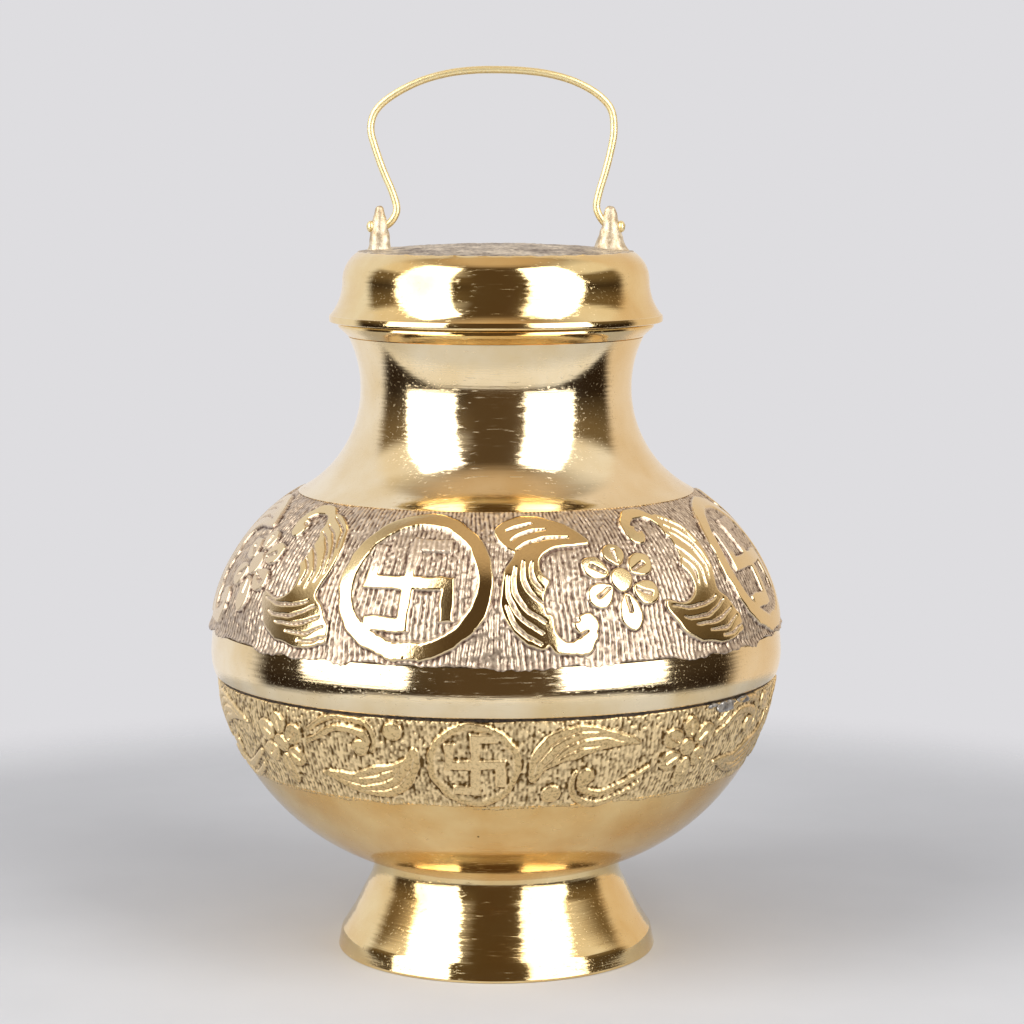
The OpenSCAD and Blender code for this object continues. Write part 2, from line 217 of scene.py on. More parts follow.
# %% [markdown]
# The floor is a pale matt board. Its edge fades out, so that it runs into the backdrop with no line
# from any side, and the polished belly still sees a board under it and the room beyond.

# %% Floor
def clear_selection():
    """Operators act on everything selected, and loading the frame leaves the CAD nodes selected."""
    bpy.ops.object.select_all(action="DESELECT")


FLOOR_RADIUS = 0.29
FLOOR_FADE = 0.20
clear_selection()
bpy.ops.mesh.primitive_circle_add(vertices=128, radius=FLOOR_RADIUS, fill_type="NGON")
floor = bpy.context.object
floor.name = "floor"
matt_board, tree, shader = new_material("matt_painted_board")
place = add_node(tree, "ShaderNodeTexCoord")
grain = add_node(tree, "ShaderNodeTexNoise", {
    "Vector": place.outputs["Object"], "Scale": 1 / (40 * MM), "Detail": 5})
tone = add_node(tree, "ShaderNodeMix", {
    "Factor": grain.outputs["Fac"], "A": linear("#C6C8CC"), "B": linear("#D0D2D6")}, data_type="RGBA")
plug(shader, {"Base Color": tone.outputs["Result"], "Roughness": 0.9, "Specular IOR Level": 0.15})
reach = add_node(tree, "ShaderNodeVectorMath", {0: place.outputs["Object"]}, operation="LENGTH")
fade = add_node(tree, "ShaderNodeMapRange", {
    "Value": reach.outputs["Value"], "From Min": FLOOR_FADE, "From Max": FLOOR_RADIUS},
    interpolation_type="SMOOTHSTEP")
clear = add_node(tree, "ShaderNodeBsdfTransparent")
edge = add_node(tree, "ShaderNodeMixShader", {
    "Fac": fade.outputs["Result"], 1: shader.outputs["BSDF"], 2: clear.outputs["BSDF"]})
plug(tree.nodes["Material Output"], {"Surface": edge.outputs["Shader"]})
floor.data.materials.append(matt_board)
print("floor radius", FLOOR_RADIUS, "m")

# %% [markdown]
# Buffed cast brass: turned on a lathe and polished with a rouge mop. It mirrors the room, but every
# fine ring that the lathe left leans a little to its own side, so the edges of a reflection break up
# into streaks round the pot, and handling has left slanted scratches across them. The rings are a
# noise stretched around the axis: quick along the height, slow along the turn.

# %% Buffed brass
RING_MM = 0.5
RING_RUN_MM = 22
RING_LEAN = 0.05
SCRATCH_MM = 0.45
SCRATCH_RUN_MM = 8
CLOUD_MM = 14
PIT_MM = 15


def buffed_brass(name, gloss, light_tone, deep_tone):
    """Polished brass with leaning lathe rings, slanted scratches and slight clouding."""
    material, tree, shader = new_material(name)
    surface = add_node(tree, "ShaderNodeTexCoord")
    place = surface.outputs["Object"]
    ring_scale = (1 / (RING_RUN_MM * MM), 1 / (RING_RUN_MM * MM), 1 / (RING_MM * MM))
    stretched = add_node(tree, "ShaderNodeMapping", {"Vector": place, "Scale": ring_scale})
    rings = add_node(tree, "ShaderNodeTexNoise", {
        "Vector": stretched.outputs["Vector"], "Scale": 1, "Detail": 4, "Roughness": 0.65})
    lean = add_node(tree, "ShaderNodeMapRange", {
        "Value": rings.outputs["Fac"], "To Min": -RING_LEAN, "To Max": RING_LEAN}, clamp=False)
    around = add_node(tree, "ShaderNodeVectorMath", {0: (0, 0, 1), 1: place}, operation="CROSS_PRODUCT")
    turnwise = add_node(tree, "ShaderNodeVectorMath", {0: around.outputs["Vector"]}, operation="NORMALIZE")
    tilt = add_node(tree, "ShaderNodeVectorMath", {
        0: turnwise.outputs["Vector"], "Scale": lean.outputs["Result"]}, operation="SCALE")
    leaning = add_node(tree, "ShaderNodeVectorMath", {
        0: surface.outputs["Normal"], 1: tilt.outputs["Vector"]})
    ringed = add_node(tree, "ShaderNodeVectorTransform", {"Vector": leaning.outputs["Vector"]},
                      vector_type="NORMAL", convert_from="OBJECT", convert_to="WORLD")
    crossed = add_node(tree, "ShaderNodeMapping", {
        "Vector": place, "Rotation": (0.5, 0.9, 0.3),
        "Scale": (1 / (SCRATCH_RUN_MM * MM), 1 / (SCRATCH_MM * MM), 1 / (SCRATCH_MM * MM))})
    strokes = add_node(tree, "ShaderNodeTexNoise", {
        "Vector": crossed.outputs["Vector"], "Scale": 1, "Detail": 3})
    scratch = add_node(tree, "ShaderNodeMapRange", {
        "Value": strokes.outputs["Fac"], "From Min": 0.60, "From Max": 0.70})
    clouds = add_node(tree, "ShaderNodeTexNoise", {
        "Vector": place, "Scale": 1 / (CLOUD_MM * MM), "Detail": 4})
    cloud = add_node(tree, "ShaderNodeMapRange", {
        "Value": clouds.outputs["Fac"], "From Min": 0.35, "From Max": 0.7})
    colour = add_node(tree, "ShaderNodeMix", {
        "Factor": cloud.outputs["Result"], "A": linear(light_tone), "B": linear(deep_tone)},
        data_type="RGBA")
    specks = add_node(tree, "ShaderNodeTexVoronoi", {"Vector": place, "Scale": 1 / (PIT_MM * MM)})
    pit = add_node(tree, "ShaderNodeMapRange", {
        "Value": specks.outputs["Distance"], "From Min": 0.01, "From Max": 0.022, "To Min": 1, "To Max": 0})
    pitted = add_node(tree, "ShaderNodeMix", {
        "Factor": pit.outputs["Result"], "A": colour.outputs["Result"], "B": linear("#5C4526")},
        data_type="RGBA")
    worn = add_node(tree, "ShaderNodeMath", {0: scratch.outputs["Result"], 1: 0.2, 2: gloss},
                    operation="MULTIPLY_ADD")
    rough = add_node(tree, "ShaderNodeMath", {0: cloud.outputs["Result"], 1: 0.06, 2: worn.outputs["Value"]},
                     operation="MULTIPLY_ADD")
    height = add_node(tree, "ShaderNodeMath", {
        0: scratch.outputs["Result"], 1: -0.4, 2: rings.outputs["Fac"]}, operation="MULTIPLY_ADD")
    bump = add_node(tree, "ShaderNodeBump", {
        "Height": height.outputs["Value"], "Strength": 0.4, "Distance": 0.03 * MM,
        "Normal": ringed.outputs["Vector"]})
    plug(shader, {"Base Color": pitted.outputs["Result"], "Roughness": rough.outputs["Value"],
                  "Normal": bump.outputs["Normal"], "Metallic": 1})
    return material


turned_brass = buffed_brass("buffed_turned_brass", 0.07, "#F3DDAA", "#E5C283")
body_brass = buffed_brass("buffed_body_brass", 0.08, "#F6E5C2", "#EAD09E")
bowl_brass = buffed_brass("buffed_bowl_brass", 0.1, "#EDCF95", "#DCB06A")
print("made", turned_brass.name, body_brass.name, bowl_brass.name)

# %% [markdown]
# Relief brass: the casting keeps its dull pale skin in the ground, with brown dirt and painted shade in every
# cut and along every edge and a painted highlight on the hatch crests, and the buffing mop polished only what
# stands proud. Each point of a band carries two values: polish, from 0 on the ground to 1 on the tops, and
# dirt with painted shade, lowest on the hatch crests. The left side was held away from the mop and stayed
# duller.

# %% Relief brass
STIPPLE_MM = 0.6
DULL_SIDE_MM = (-48, -40)
DULL_SHARE = 0.7


def relief_brass(name, ground_pale, ground_dark, top_light, top_deep, top_rough, top_specks):
    """Brass that is dull where the attribute polish is low, and buffed with some specks where it is high."""
    material, tree, shader = new_material(name)
    place = add_node(tree, "ShaderNodeTexCoord").outputs["Object"]
    polish_attribute = add_node(tree, "ShaderNodeAttribute", attribute_name="polish").outputs["Fac"]
    across = add_node(tree, "ShaderNodeSeparateXYZ", {"Vector": place}).outputs["X"]
    mop_reach = add_node(tree, "ShaderNodeMapRange", {
        "Value": across, "From Min": DULL_SIDE_MM[0] * MM, "From Max": DULL_SIDE_MM[1] * MM,
        "To Min": DULL_SHARE, "To Max": 1})
    buffed = add_node(tree, "ShaderNodeMath", {0: polish_attribute, 1: mop_reach.outputs["Result"]},
                      operation="MULTIPLY").outputs["Value"]
    # The second attribute is partly dirt and partly painted light: painted shade along raised edges and in
    # the hatch grooves, and a painted highlight on the hatch crests. With the stipple it mixes the ground to
    # its dark tone.
    hollow = add_node(tree, "ShaderNodeAttribute", attribute_name="hollow").outputs["Fac"]
    stipple = add_node(tree, "ShaderNodeTexNoise", {
        "Vector": place, "Scale": 1 / (STIPPLE_MM * MM), "Detail": 4})
    clouds = add_node(tree, "ShaderNodeTexNoise", {
        "Vector": place, "Scale": 1 / (CLOUD_MM * MM), "Detail": 4})
    dirt_and_shade_sum = add_node(tree, "ShaderNodeMath", {
        0: stipple.outputs["Fac"], 1: 0.7, 2: hollow}, operation="MULTIPLY_ADD")
    dirt_and_shade_amount = add_node(tree, "ShaderNodeMapRange", {
        "Value": dirt_and_shade_sum.outputs["Value"], "From Min": 0.42, "From Max": 1.2})
    ground = add_node(tree, "ShaderNodeMix", {
        "Factor": dirt_and_shade_amount.outputs["Result"], "A": linear(ground_pale), "B": linear(ground_dark)},
        data_type="RGBA")
    top = add_node(tree, "ShaderNodeMix", {
        "Factor": clouds.outputs["Fac"], "A": linear(top_light), "B": linear(top_deep)},
        data_type="RGBA")
    specks = add_node(tree, "ShaderNodeMapRange", {
        "Value": stipple.outputs["Fac"], "From Min": 0.48, "From Max": 0.68, "To Max": top_specks})
    speckled = add_node(tree, "ShaderNodeMix", {
        "Factor": specks.outputs["Result"], "A": top.outputs["Result"], "B": linear(ground_dark)},
        data_type="RGBA")
    polish = add_node(tree, "ShaderNodeMapRange", {
        "Value": buffed, "From Min": 0.5, "From Max": 0.95}, interpolation_type="SMOOTHSTEP")
    colour = add_node(tree, "ShaderNodeMix", {
        "Factor": polish.outputs["Result"], "A": ground.outputs["Result"], "B": speckled.outputs["Result"]},
        data_type="RGBA")
    metal = add_node(tree, "ShaderNodeMapRange", {
        "Value": polish.outputs["Result"], "To Min": 0.8, "To Max": 1})
    rough = add_node(tree, "ShaderNodeMapRange", {
        "Value": polish.outputs["Result"], "To Min": 0.36, "To Max": top_rough})
    bump_share = add_node(tree, "ShaderNodeMapRange", {
        "Value": polish.outputs["Result"], "To Min": 0.5, "To Max": 0.14 + 0.5 * top_specks})
    bump = add_node(tree, "ShaderNodeBump", {
        "Height": stipple.outputs["Fac"], "Strength": bump_share.outputs["Result"], "Distance": 0.1 * MM})
    plug(shader, {"Base Color": colour.outputs["Result"], "Metallic": metal.outputs["Result"],
                  "Roughness": rough.outputs["Result"], "Normal": bump.outputs["Normal"]})
    return material


# The dark ground tones colour both the dirt and the painted shade along edges and in grooves.
shoulder_brass = relief_brass("cast_shoulder_brass", "#D9C7B1", "#654F43", "#F2DEB2", "#E3C68F", 0.11, 0.06)
bowl_band_brass = relief_brass("cast_bowl_brass", "#F4DAA8", "#634A24", "#EBD3A2", "#DDBC82", 0.3, 0.6)
print("made", shoulder_brass.name, "and", bowl_band_brass.name)

# %% [markdown]
# As-cast brass: the lid's crown and its ears never saw a tool, so they keep the sand's skin, dull and
# uneven. The crown is darker because dirt stays on it. The ears are rubbed pale by the handle.

# %% As-cast brass
SAND_MM = 0.9
SKIN_MM = 5


def cast_brass(name, pale_tone, dark_tone, roughness, bump_mm):
    """Brass with the skin of a sand mould."""
    material, tree, shader = new_material(name)
    place = add_node(tree, "ShaderNodeTexCoord").outputs["Object"]
    sand = add_node(tree, "ShaderNodeTexNoise", {
        "Vector": place, "Scale": 1 / (SAND_MM * MM), "Detail": 5, "Roughness": 0.6})
    skin = add_node(tree, "ShaderNodeTexNoise", {
        "Vector": place, "Scale": 1 / (SKIN_MM * MM), "Detail": 4})
    both = add_node(tree, "ShaderNodeMath", {0: sand.outputs["Fac"], 1: skin.outputs["Fac"]})
    patches = add_node(tree, "ShaderNodeMapRange", {
        "Value": both.outputs["Value"], "From Min": 0.75, "From Max": 1.25})
    colour = add_node(tree, "ShaderNodeMix", {
        "Factor": patches.outputs["Result"], "A": linear(dark_tone), "B": linear(pale_tone)},
        data_type="RGBA")
    rough = add_node(tree, "ShaderNodeMath", {
        0: sand.outputs["Fac"], 1: 0.2, 2: roughness}, operation="MULTIPLY_ADD")
    bump = add_node(tree, "ShaderNodeBump", {
        "Height": sand.outputs["Fac"], "Strength": 0.5, "Distance": bump_mm * MM})
    plug(shader, {"Base Color": colour.outputs["Result"], "Roughness": rough.outputs["Value"],
                  "Normal": bump.outputs["Normal"], "Metallic": 0.85})
    return material


crown_brass = cast_brass("sand_cast_crown_brass", "#E6DAC6", "#66554A", 0.36, 0.3)
ear_brass = cast_brass("sand_cast_ear_brass", "#EBE1CC", "#B19B7A", 0.4, 0.2)
print("made", crown_brass.name, "and", ear_brass.name)

# %% [markdown]
# Four small finishes: drawn brass wire, whose die leaves a fine pale yellow satin; soft solder, which
# is grey, lumpy and dull, and nearly black with old polish where it lies in the seam; and red rubber
# for the washer, which is moulded and matt.

# %% Wire, solder and rubber
WIRE_GRAIN_MM = 0.4


def plain_finish(name, light_tone, dark_tone, grain_mm, metallic, roughness, bump_mm):
    """A finish with one grain that shifts its tone, its gloss and its surface a little."""
    material, tree, shader = new_material(name)
    place = add_node(tree, "ShaderNodeTexCoord").outputs["Object"]
    grain = add_node(tree, "ShaderNodeTexNoise", {
        "Vector": place, "Scale": 1 / (grain_mm * MM), "Detail": 4})
    patches = add_node(tree, "ShaderNodeMapRange", {
        "Value": grain.outputs["Fac"], "From Min": 0.35, "From Max": 0.65})
    colour = add_node(tree, "ShaderNodeMix", {
        "Factor": patches.outputs["Result"], "A": linear(light_tone), "B": linear(dark_tone)},
        data_type="RGBA")
    rough = add_node(tree, "ShaderNodeMath", {
        0: grain.outputs["Fac"], 1: 0.15, 2: roughness}, operation="MULTIPLY_ADD")
    bump = add_node(tree, "ShaderNodeBump", {
        "Height": grain.outputs["Fac"], "Strength": 0.4, "Distance": bump_mm * MM})
    plug(shader, {"Base Color": colour.outputs["Result"], "Roughness": rough.outputs["Value"],
                  "Normal": bump.outputs["Normal"], "Metallic": metallic})
    return material


wire_brass = plain_finish("drawn_brass_wire", "#FAEDC2", "#F0DA9C", WIRE_GRAIN_MM, 1, 0.34, 0.01)
soft_solder = plain_finish("soft_solder", "#B9B7B4", "#6B6560", 1.5, 0.85, 0.36, 0.15)
seam_dirt = plain_finish("blackened_solder", "#4A3B2C", "#1E1812", 1.1, 0.4, 0.5, 0.2)
red_rubber = plain_finish("moulded_red_rubber", "#8A3A2E", "#6E2A21", 1.2, 0, 0.68, 0.05)
print("made", wire_brass.name, soft_solder.name, seam_dirt.name, red_rubber.name)

# %% [markdown]
# Nearly everything on this pot was turned on a lathe, so one helper does what a lathe does. A single
# point is extruded along half of the piece's section, and the section is spun about the pot's axis.
# Doubles on the axis and at the seam are merged, and the faces are turned outwards. Small helpers name
# what an operator has just made, make a piece the active one, and apply a modifier to it.

# %% The lathe
LATHE_STEPS = 256
CORNER_ANGLE = math.radians(38)


def arc(centre, radius, start, end, steps):
    """Points (r, z) on an arc, angles in degrees from the +r direction."""
    turn = np.radians(np.linspace(start, end, steps + 1))
    return [(centre[0] + radius * math.cos(a), centre[1] + radius * math.sin(a)) for a in turn]


def named(name):
    """The object that an operator has just made, under its own name."""
    piece = bpy.context.object
    piece.name = name
    piece.data.name = name
    return piece


def make_active(piece):
    """Let the next operators act on this piece alone."""
    clear_selection()
    piece.select_set(True)
    bpy.context.view_layer.objects.active = piece


def worked(piece, kind, **settings):
    """Apply a modifier with its settings to the active piece."""
    modifier = piece.modifiers.new(kind.lower(), kind)
    for name, value in settings.items():
        setattr(modifier, name, value)
    bpy.ops.object.modifier_apply(modifier=modifier.name)


def turned(name, section, steps=LATHE_STEPS):
    """Spin a section, a list of (r, z) in mm, into a solid about Z."""
    clear_selection()
    bpy.ops.mesh.primitive_plane_add(size=MM)
    piece = named(name)
    bpy.ops.object.mode_set(mode="EDIT")
    bpy.ops.mesh.select_mode(type="VERT")
    bpy.ops.mesh.select_all(action="SELECT")
    bpy.ops.mesh.merge(type="CENTER")
    start = section[0]
    bpy.ops.transform.translate(value=(start[0] * MM, 0, start[1] * MM))
    for here, there in zip(section, section[1:]):
        step = ((there[0] - here[0]) * MM, 0, (there[1] - here[1]) * MM)
        bpy.ops.mesh.extrude_vertices_move(TRANSFORM_OT_translate={"value": step})
    bpy.ops.mesh.select_all(action="SELECT")
    bpy.ops.mesh.spin(steps=steps, angle=2 * math.pi, center=(0, 0, 0), axis=(0, 0, 1))
    bpy.ops.mesh.select_all(action="SELECT")
    bpy.ops.mesh.remove_doubles(threshold=0.002 * MM)
    bpy.ops.mesh.normals_make_consistent(inside=False)
    bpy.ops.object.mode_set(mode="OBJECT")
    bpy.ops.object.shade_smooth_by_angle(angle=CORNER_ANGLE)
    return piece


def finished(piece, material, body, slot, *nodes):
    """Give a piece its finish, hang it on its CAD body and hide the CAD nodes it stands for."""
    if not piece.data.materials:
        piece.data.materials.append(material)
    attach(piece, body)
    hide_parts(*nodes)
    print(piece.name, "has", len(piece.data.polygons), "faces")


print("lathe with", LATHE_STEPS, "steps")

# %% [markdown]
# The foot is a flaring ring, hollow below. A narrow band that leans in a little runs round its bottom,
# with an edge where the flare starts. The flare is a straight cone that runs into a round hollow. The
# outer edge is given as insets from the rim, with their heights.

# %% Foot
FOOT_CURVE = (38.8, 20.2)
FOOT_CURVE_R = 12
FOOT_WALL = 2.4
FOOT_FLARE = 210.3
FOOT_EDGE = [
    (FOOT_WALL, 0), (0.35, 0), (0.08, 0.1), (0, 0.35), (0.06, 0.62), (0.32, 1.9), (0.62, 3.4), (0.78, 4.0),
    (0.95, 4.3), (1.2, 4.64), (1.9, 5.75), (3.6, 8.5),
]
foot_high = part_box("foot")[1]
foot_rim = foot_high.x / MM
foot_top = foot_high.z / MM
foot_section = [(foot_rim - inset, z) for inset, z in FOOT_EDGE]
foot_section += arc(FOOT_CURVE, FOOT_CURVE_R, FOOT_FLARE, 180, 20)
foot_section += [(FOOT_CURVE[0] - FOOT_CURVE_R - FOOT_WALL, foot_top)]
foot_section += arc(FOOT_CURVE, FOOT_CURVE_R + FOOT_WALL, 180, FOOT_FLARE, 12)
foot_section += [(foot_rim - FOOT_WALL - 0.6, 4.1), (foot_rim - FOOT_WALL, 0)]
foot = turned("foot_casting", foot_section)
finished(foot, turned_brass, "pot", "turned_brass", "foot")

# %% [markdown]
# The bowl is the lower half of the body. Its underside is buffed and mirrors the foot and the floor.
# Where the relief band goes, the shell is let in by a millimetre, and the band is laid into that bed.

# %% Bowl shell
BOWL_CENTRE = (12.268, 67.205)
BOWL_R = 49.2
BED = 1.0
BOWL_WALL = 2.2
BOWL_FOOT_A = -72.83
BOWL_BAND_A = -30.3
BOWL_SEAM_A = -7.05
seam_z = BOWL_CENTRE[1] + BOWL_R * math.sin(math.radians(BOWL_SEAM_A))
bowl_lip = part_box("bowl")[1].z / MM
bowl_section = [(0, foot_top)] + arc(BOWL_CENTRE, BOWL_R, BOWL_FOOT_A, BOWL_BAND_A, 48)
bowl_section += arc(BOWL_CENTRE, BOWL_R - BED, BOWL_BAND_A, BOWL_SEAM_A, 12)
bowl_section += [(59.6, seam_z), (59.6, bowl_lip), (58, bowl_lip), (58.2, seam_z)]
bowl_section += arc(BOWL_CENTRE, BOWL_R - BOWL_WALL, -8, -71.6, 30)
bowl_section += [(0, 22.6)]
bowl = turned("bowl_shell", bowl_section)
finished(bowl, bowl_brass, "pot", "body_brass", "bowl")

# %% [markdown]
# The upper body is one casting from the belt to the mouth. The belt is nearly upright and tucks in at
# its foot, the shoulder again has a bed for its relief, and the neck is one sweeping hollow curve that
# flares to the mouth.

# %% Upper body shell
BELT_R = 62.2
BELT_WIDEST = 0.5
BELT_TUCK = 0.9
BELT_TUCK_POWER = 2.4
BELT_LEAN = 0.42
BELT_LEAN_POWER = 1.25
BELT_STEPS = 28
SHOULDER_CENTRE = (21.7414, 66)
SHOULDER_R = 41
SHOULDER_START_A = 8.41
BAND_LENGTH = 36.0
SHOULDER_BAND_A = SHOULDER_START_A + math.degrees(BAND_LENGTH / SHOULDER_R)
SHOULDER_END_A = 60.34
NECK_CENTRE = (54.4, 123.353)
NECK_R = 25
NECK_TOP_A = 153.9
NECK_WALL = 2.2
belt_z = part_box("upper_body")[0].z / MM
belt_top = 72.0
belt_foot_r = BELT_R - BELT_TUCK
upper_section = [(59.9, belt_z), (belt_foot_r - 0.45, belt_z), (belt_foot_r - 0.12, belt_z + 0.1)]
for step in range(BELT_STEPS + 1):
    t = step / BELT_STEPS
    rise = max(t, 0.02) * (belt_top - belt_z)
    tuck = BELT_TUCK * (max(BELT_WIDEST - t, 0) / BELT_WIDEST) ** BELT_TUCK_POWER
    lean = BELT_LEAN * (max(t - BELT_WIDEST, 0) / (1 - BELT_WIDEST)) ** BELT_LEAN_POWER
    upper_section.append((BELT_R - tuck - lean, belt_z + rise))
upper_section += arc(SHOULDER_CENTRE, SHOULDER_R - BED, SHOULDER_START_A + 0.2, SHOULDER_BAND_A, 14)
upper_section += arc(SHOULDER_CENTRE, SHOULDER_R, SHOULDER_BAND_A, SHOULDER_END_A, 3)
upper_section += arc(NECK_CENTRE, NECK_R, 180 + SHOULDER_END_A - 1, NECK_TOP_A, 64)
upper_section += arc(NECK_CENTRE, NECK_R + NECK_WALL, 156, 180 + SHOULDER_END_A, 32)
upper_section += arc(SHOULDER_CENTRE, SHOULDER_R - BOWL_WALL, SHOULDER_END_A - 1, 0, 24)
upper_section += [(59.9, belt_z)]
upper = turned("upper_shell", upper_section)
finished(upper, body_brass, "pot", "body_brass", "upper_body")

# %% [markdown]
# The relief was modelled in the wax before casting: a ground hatched with upright strokes, and flat
# motifs standing about half a millimetre proud of it. Each motif is drawn on the flattened band, in
# degrees round the pot and millimetres up the band, from a few curves. A motif's height is then a
# matter of distance: inside its outline it is up, outside it is down, and a narrow slope joins them.

# %% Drawing tools for the relief
SLOPE_MM = 0.55
VEIN_SLOPE_MM = 0.45
VEIN_DEPTH = 0.9


def smooth_line(points, closed=False, per_span=6):
    """A smooth curve through a few given points."""
    knots = np.array(points, float)
    spans = len(knots) if closed else len(knots) - 1
    line = []
    for i in range(spans):
        if closed:
            p0, p1, p2, p3 = (knots[(i + k) % len(knots)] for k in (-1, 0, 1, 2))
        else:
            p0, p1, p2, p3 = (knots[min(max(i + k, 0), len(knots) - 1)] for k in (-1, 0, 1, 2))
        for t in np.arange(per_span) / per_span:
            bend = (2 * p1 + (p2 - p0) * t + (2 * p0 - 5 * p1 + 4 * p2 - p3) * t * t
                    + (3 * p1 - p0 - 3 * p2 + p3) * t ** 3)
            line.append(bend / 2)
    line.append(knots[0] if closed else knots[-1])
    return np.array(line)


def distance_to(flat, line):
    """How far each point of the band is from a line, and how far along the line it lies, 0 to 1."""
    nearest = np.full(len(flat), 1e6)
    along = np.zeros(len(flat))
    for i, (a, b) in enumerate(zip(line, line[1:])):
        run = b - a
        length = float(run @ run)
        if length < 1e-12:
            continue
        t = np.clip((flat - a) @ run / length, 0, 1)
        gap = np.hypot(*(flat - a - t[:, None] * run).T)
        closer = gap < nearest
        nearest[closer] = gap[closer]
        along[closer] = (i + t[closer]) / (len(line) - 1)
    return nearest, along


def stroke(flat, points, widths):
    """Signed distance to a stroke whose half width changes along it: start, middle, end."""
    gap, along = distance_to(flat, smooth_line(points))
    return gap - np.interp(along, (0, 0.5, 1), widths)


def field(flat, points):
    """Signed distance to a closed outline: negative inside it."""
    line = smooth_line(points, closed=True)
    gap, _ = distance_to(flat, line)
    inside = np.zeros(len(flat), bool)
    for a, b in zip(line, line[1:]):
        if a[1] == b[1]:
            continue
        crosses = (a[1] > flat[:, 1]) != (b[1] > flat[:, 1])
        inside ^= crosses & (flat[:, 0] < a[0] + (flat[:, 1] - a[1]) * (b[0] - a[0]) / (b[1] - a[1]))
    return np.where(inside, -gap, gap)


def disc(flat, centre, radius):
    """Signed distance to a disc."""
    return np.hypot(*(flat - np.array(centre)).T) - radius


def bar(flat, low, high):
    """Signed distance to an upright bar given by two corners."""
    middle = (np.array(low) + np.array(high)) / 2
    half = (np.array(high) - np.array(low)) / 2
    over = np.abs(flat - middle) - half
    return np.hypot(*np.maximum(over, 0).T) + np.minimum(over.max(axis=1), 0)


def up(signed, slope=SLOPE_MM):
    """1 inside an outline, 0 outside it, with a narrow soft slope between."""
    t = np.clip(0.5 - signed / slope, 0, 1)
    return t * t * (3 - 2 * t)


def beside_vein(flat, points, widths):
    """How much height a vein leaves: all of it beside the cut and little of it inside."""
    return 1 - VEIN_DEPTH * up(stroke(flat, points, widths), VEIN_SLOPE_MM)


print("slope at a motif's edge:", SLOPE_MM, "mm")

# %% [markdown]
# Two motifs serve both bands, at two sizes. The medallion is a ring round the auspicious hooked cross
# of Hindu ritual ware, its arms bent to the right; the ring's inner wall slopes, and the cross stands a
# little off its middle. The flower has a round boss and six petals, widest past their middle, each with
# a short groove. The lowest petal is longest.

# %% Medallion and flower
RING_SLOPE_MM = 1.3
PETAL_GAP = 0.25
PETAL_REACH = (1.02, 0.93, 1, 1, 1.22, 0.94)
PETAL_TURN = (30, 90, 151, 211, 274, 328)
PETAL_FULLNESS = 1.15
PETAL_ROUNDNESS = 0.55
GROOVE_START = 0.6
GROOVE_SLOPE_MM = 0.4
GROOVE_DEPTH = 0.85


def medallion(flat, centre, ring, shift, sign, bars, hooks):
    """A ring (outer, inner radius, tallness), a sign (half width, half height), bars (level, upright)."""
    round_flat = (flat - np.array(centre)) / np.array((1, ring[2]))
    cx = centre[0] + shift[0]
    cy = centre[1] + shift[1]
    half_w, half_h = sign
    level, upright = bars
    hook_w, hook_h = hooks
    strips = [
        bar(flat, (cx - half_w, cy - level / 2), (cx + half_w, cy + level / 2)),
        bar(flat, (cx - upright / 2, cy - half_h), (cx + upright / 2, cy + half_h)),
        bar(flat, (cx - upright / 2, cy + half_h - level), (cx + hook_w, cy + half_h)),
        bar(flat, (cx - hook_w, cy - half_h), (cx + upright / 2, cy - half_h + level)),
        bar(flat, (cx + half_w - upright, cy - hook_h), (cx + half_w, cy + level / 2)),
        bar(flat, (cx - half_w, cy - level / 2), (cx - half_w + upright, cy + hook_h)),
    ]
    inner_wall = up(-disc(round_flat, (0, 0), ring[1] - RING_SLOPE_MM / 3), RING_SLOPE_MM)
    rim = np.minimum(up(disc(round_flat, (0, 0), ring[0])), inner_wall)
    cross = up(np.minimum.reduce(strips))
    return np.maximum(rim, cross), cross


def flower(flat, centre, boss, reach, width, groove):
    """A boss and six petals, with and without their grooves: groove is (half width, from, to)."""
    around = flat - np.array(centre)
    whole = up(np.hypot(*around.T) - boss)
    grooved = whole
    root = boss + PETAL_GAP
    for share, turn in zip(PETAL_REACH, PETAL_TURN):
        a = math.radians(turn)
        tip = reach * share
        out = around @ np.array((math.cos(a), math.sin(a)))
        side = np.abs(around @ np.array((-math.sin(a), math.cos(a))))
        t = np.clip((out - root) / (tip - root), 0, 1)
        half = width / 2 * np.sin(math.pi * t ** PETAL_FULLNESS) ** PETAL_ROUNDNESS
        signed = np.where((out > root) & (out < tip), side - half, 1.0)
        taper = np.interp(out, groove[1:], (GROOVE_START, 1)) * groove[0]
        ends = np.maximum(groove[1] - out, out - groove[2])
        cut = up(np.maximum(side - taper, ends), GROOVE_SLOPE_MM)
        whole = np.maximum(whole, up(signed))
        grooved = np.maximum(grooved, up(signed) * (1 - GROOVE_DEPTH * cut))
    return grooved, whole


print("motifs drawn from a ring, bars, a boss and", len(PETAL_REACH), "petals")

# %% [markdown]
# The upper band repeats four times round the pot: a medallion, then a flower between two curling
# leaves. A leaf is one raised field with a hooked stem, and its veins are narrow cuts in it. The second
# leaf's body is the first one's turned half round about the flower. Its stem and lobe are drawn by
# themselves: the stem makes a wider hook, and the lobe spreads into five fingers. A stem is its line,
# its bulb and the eye beside the bulb.

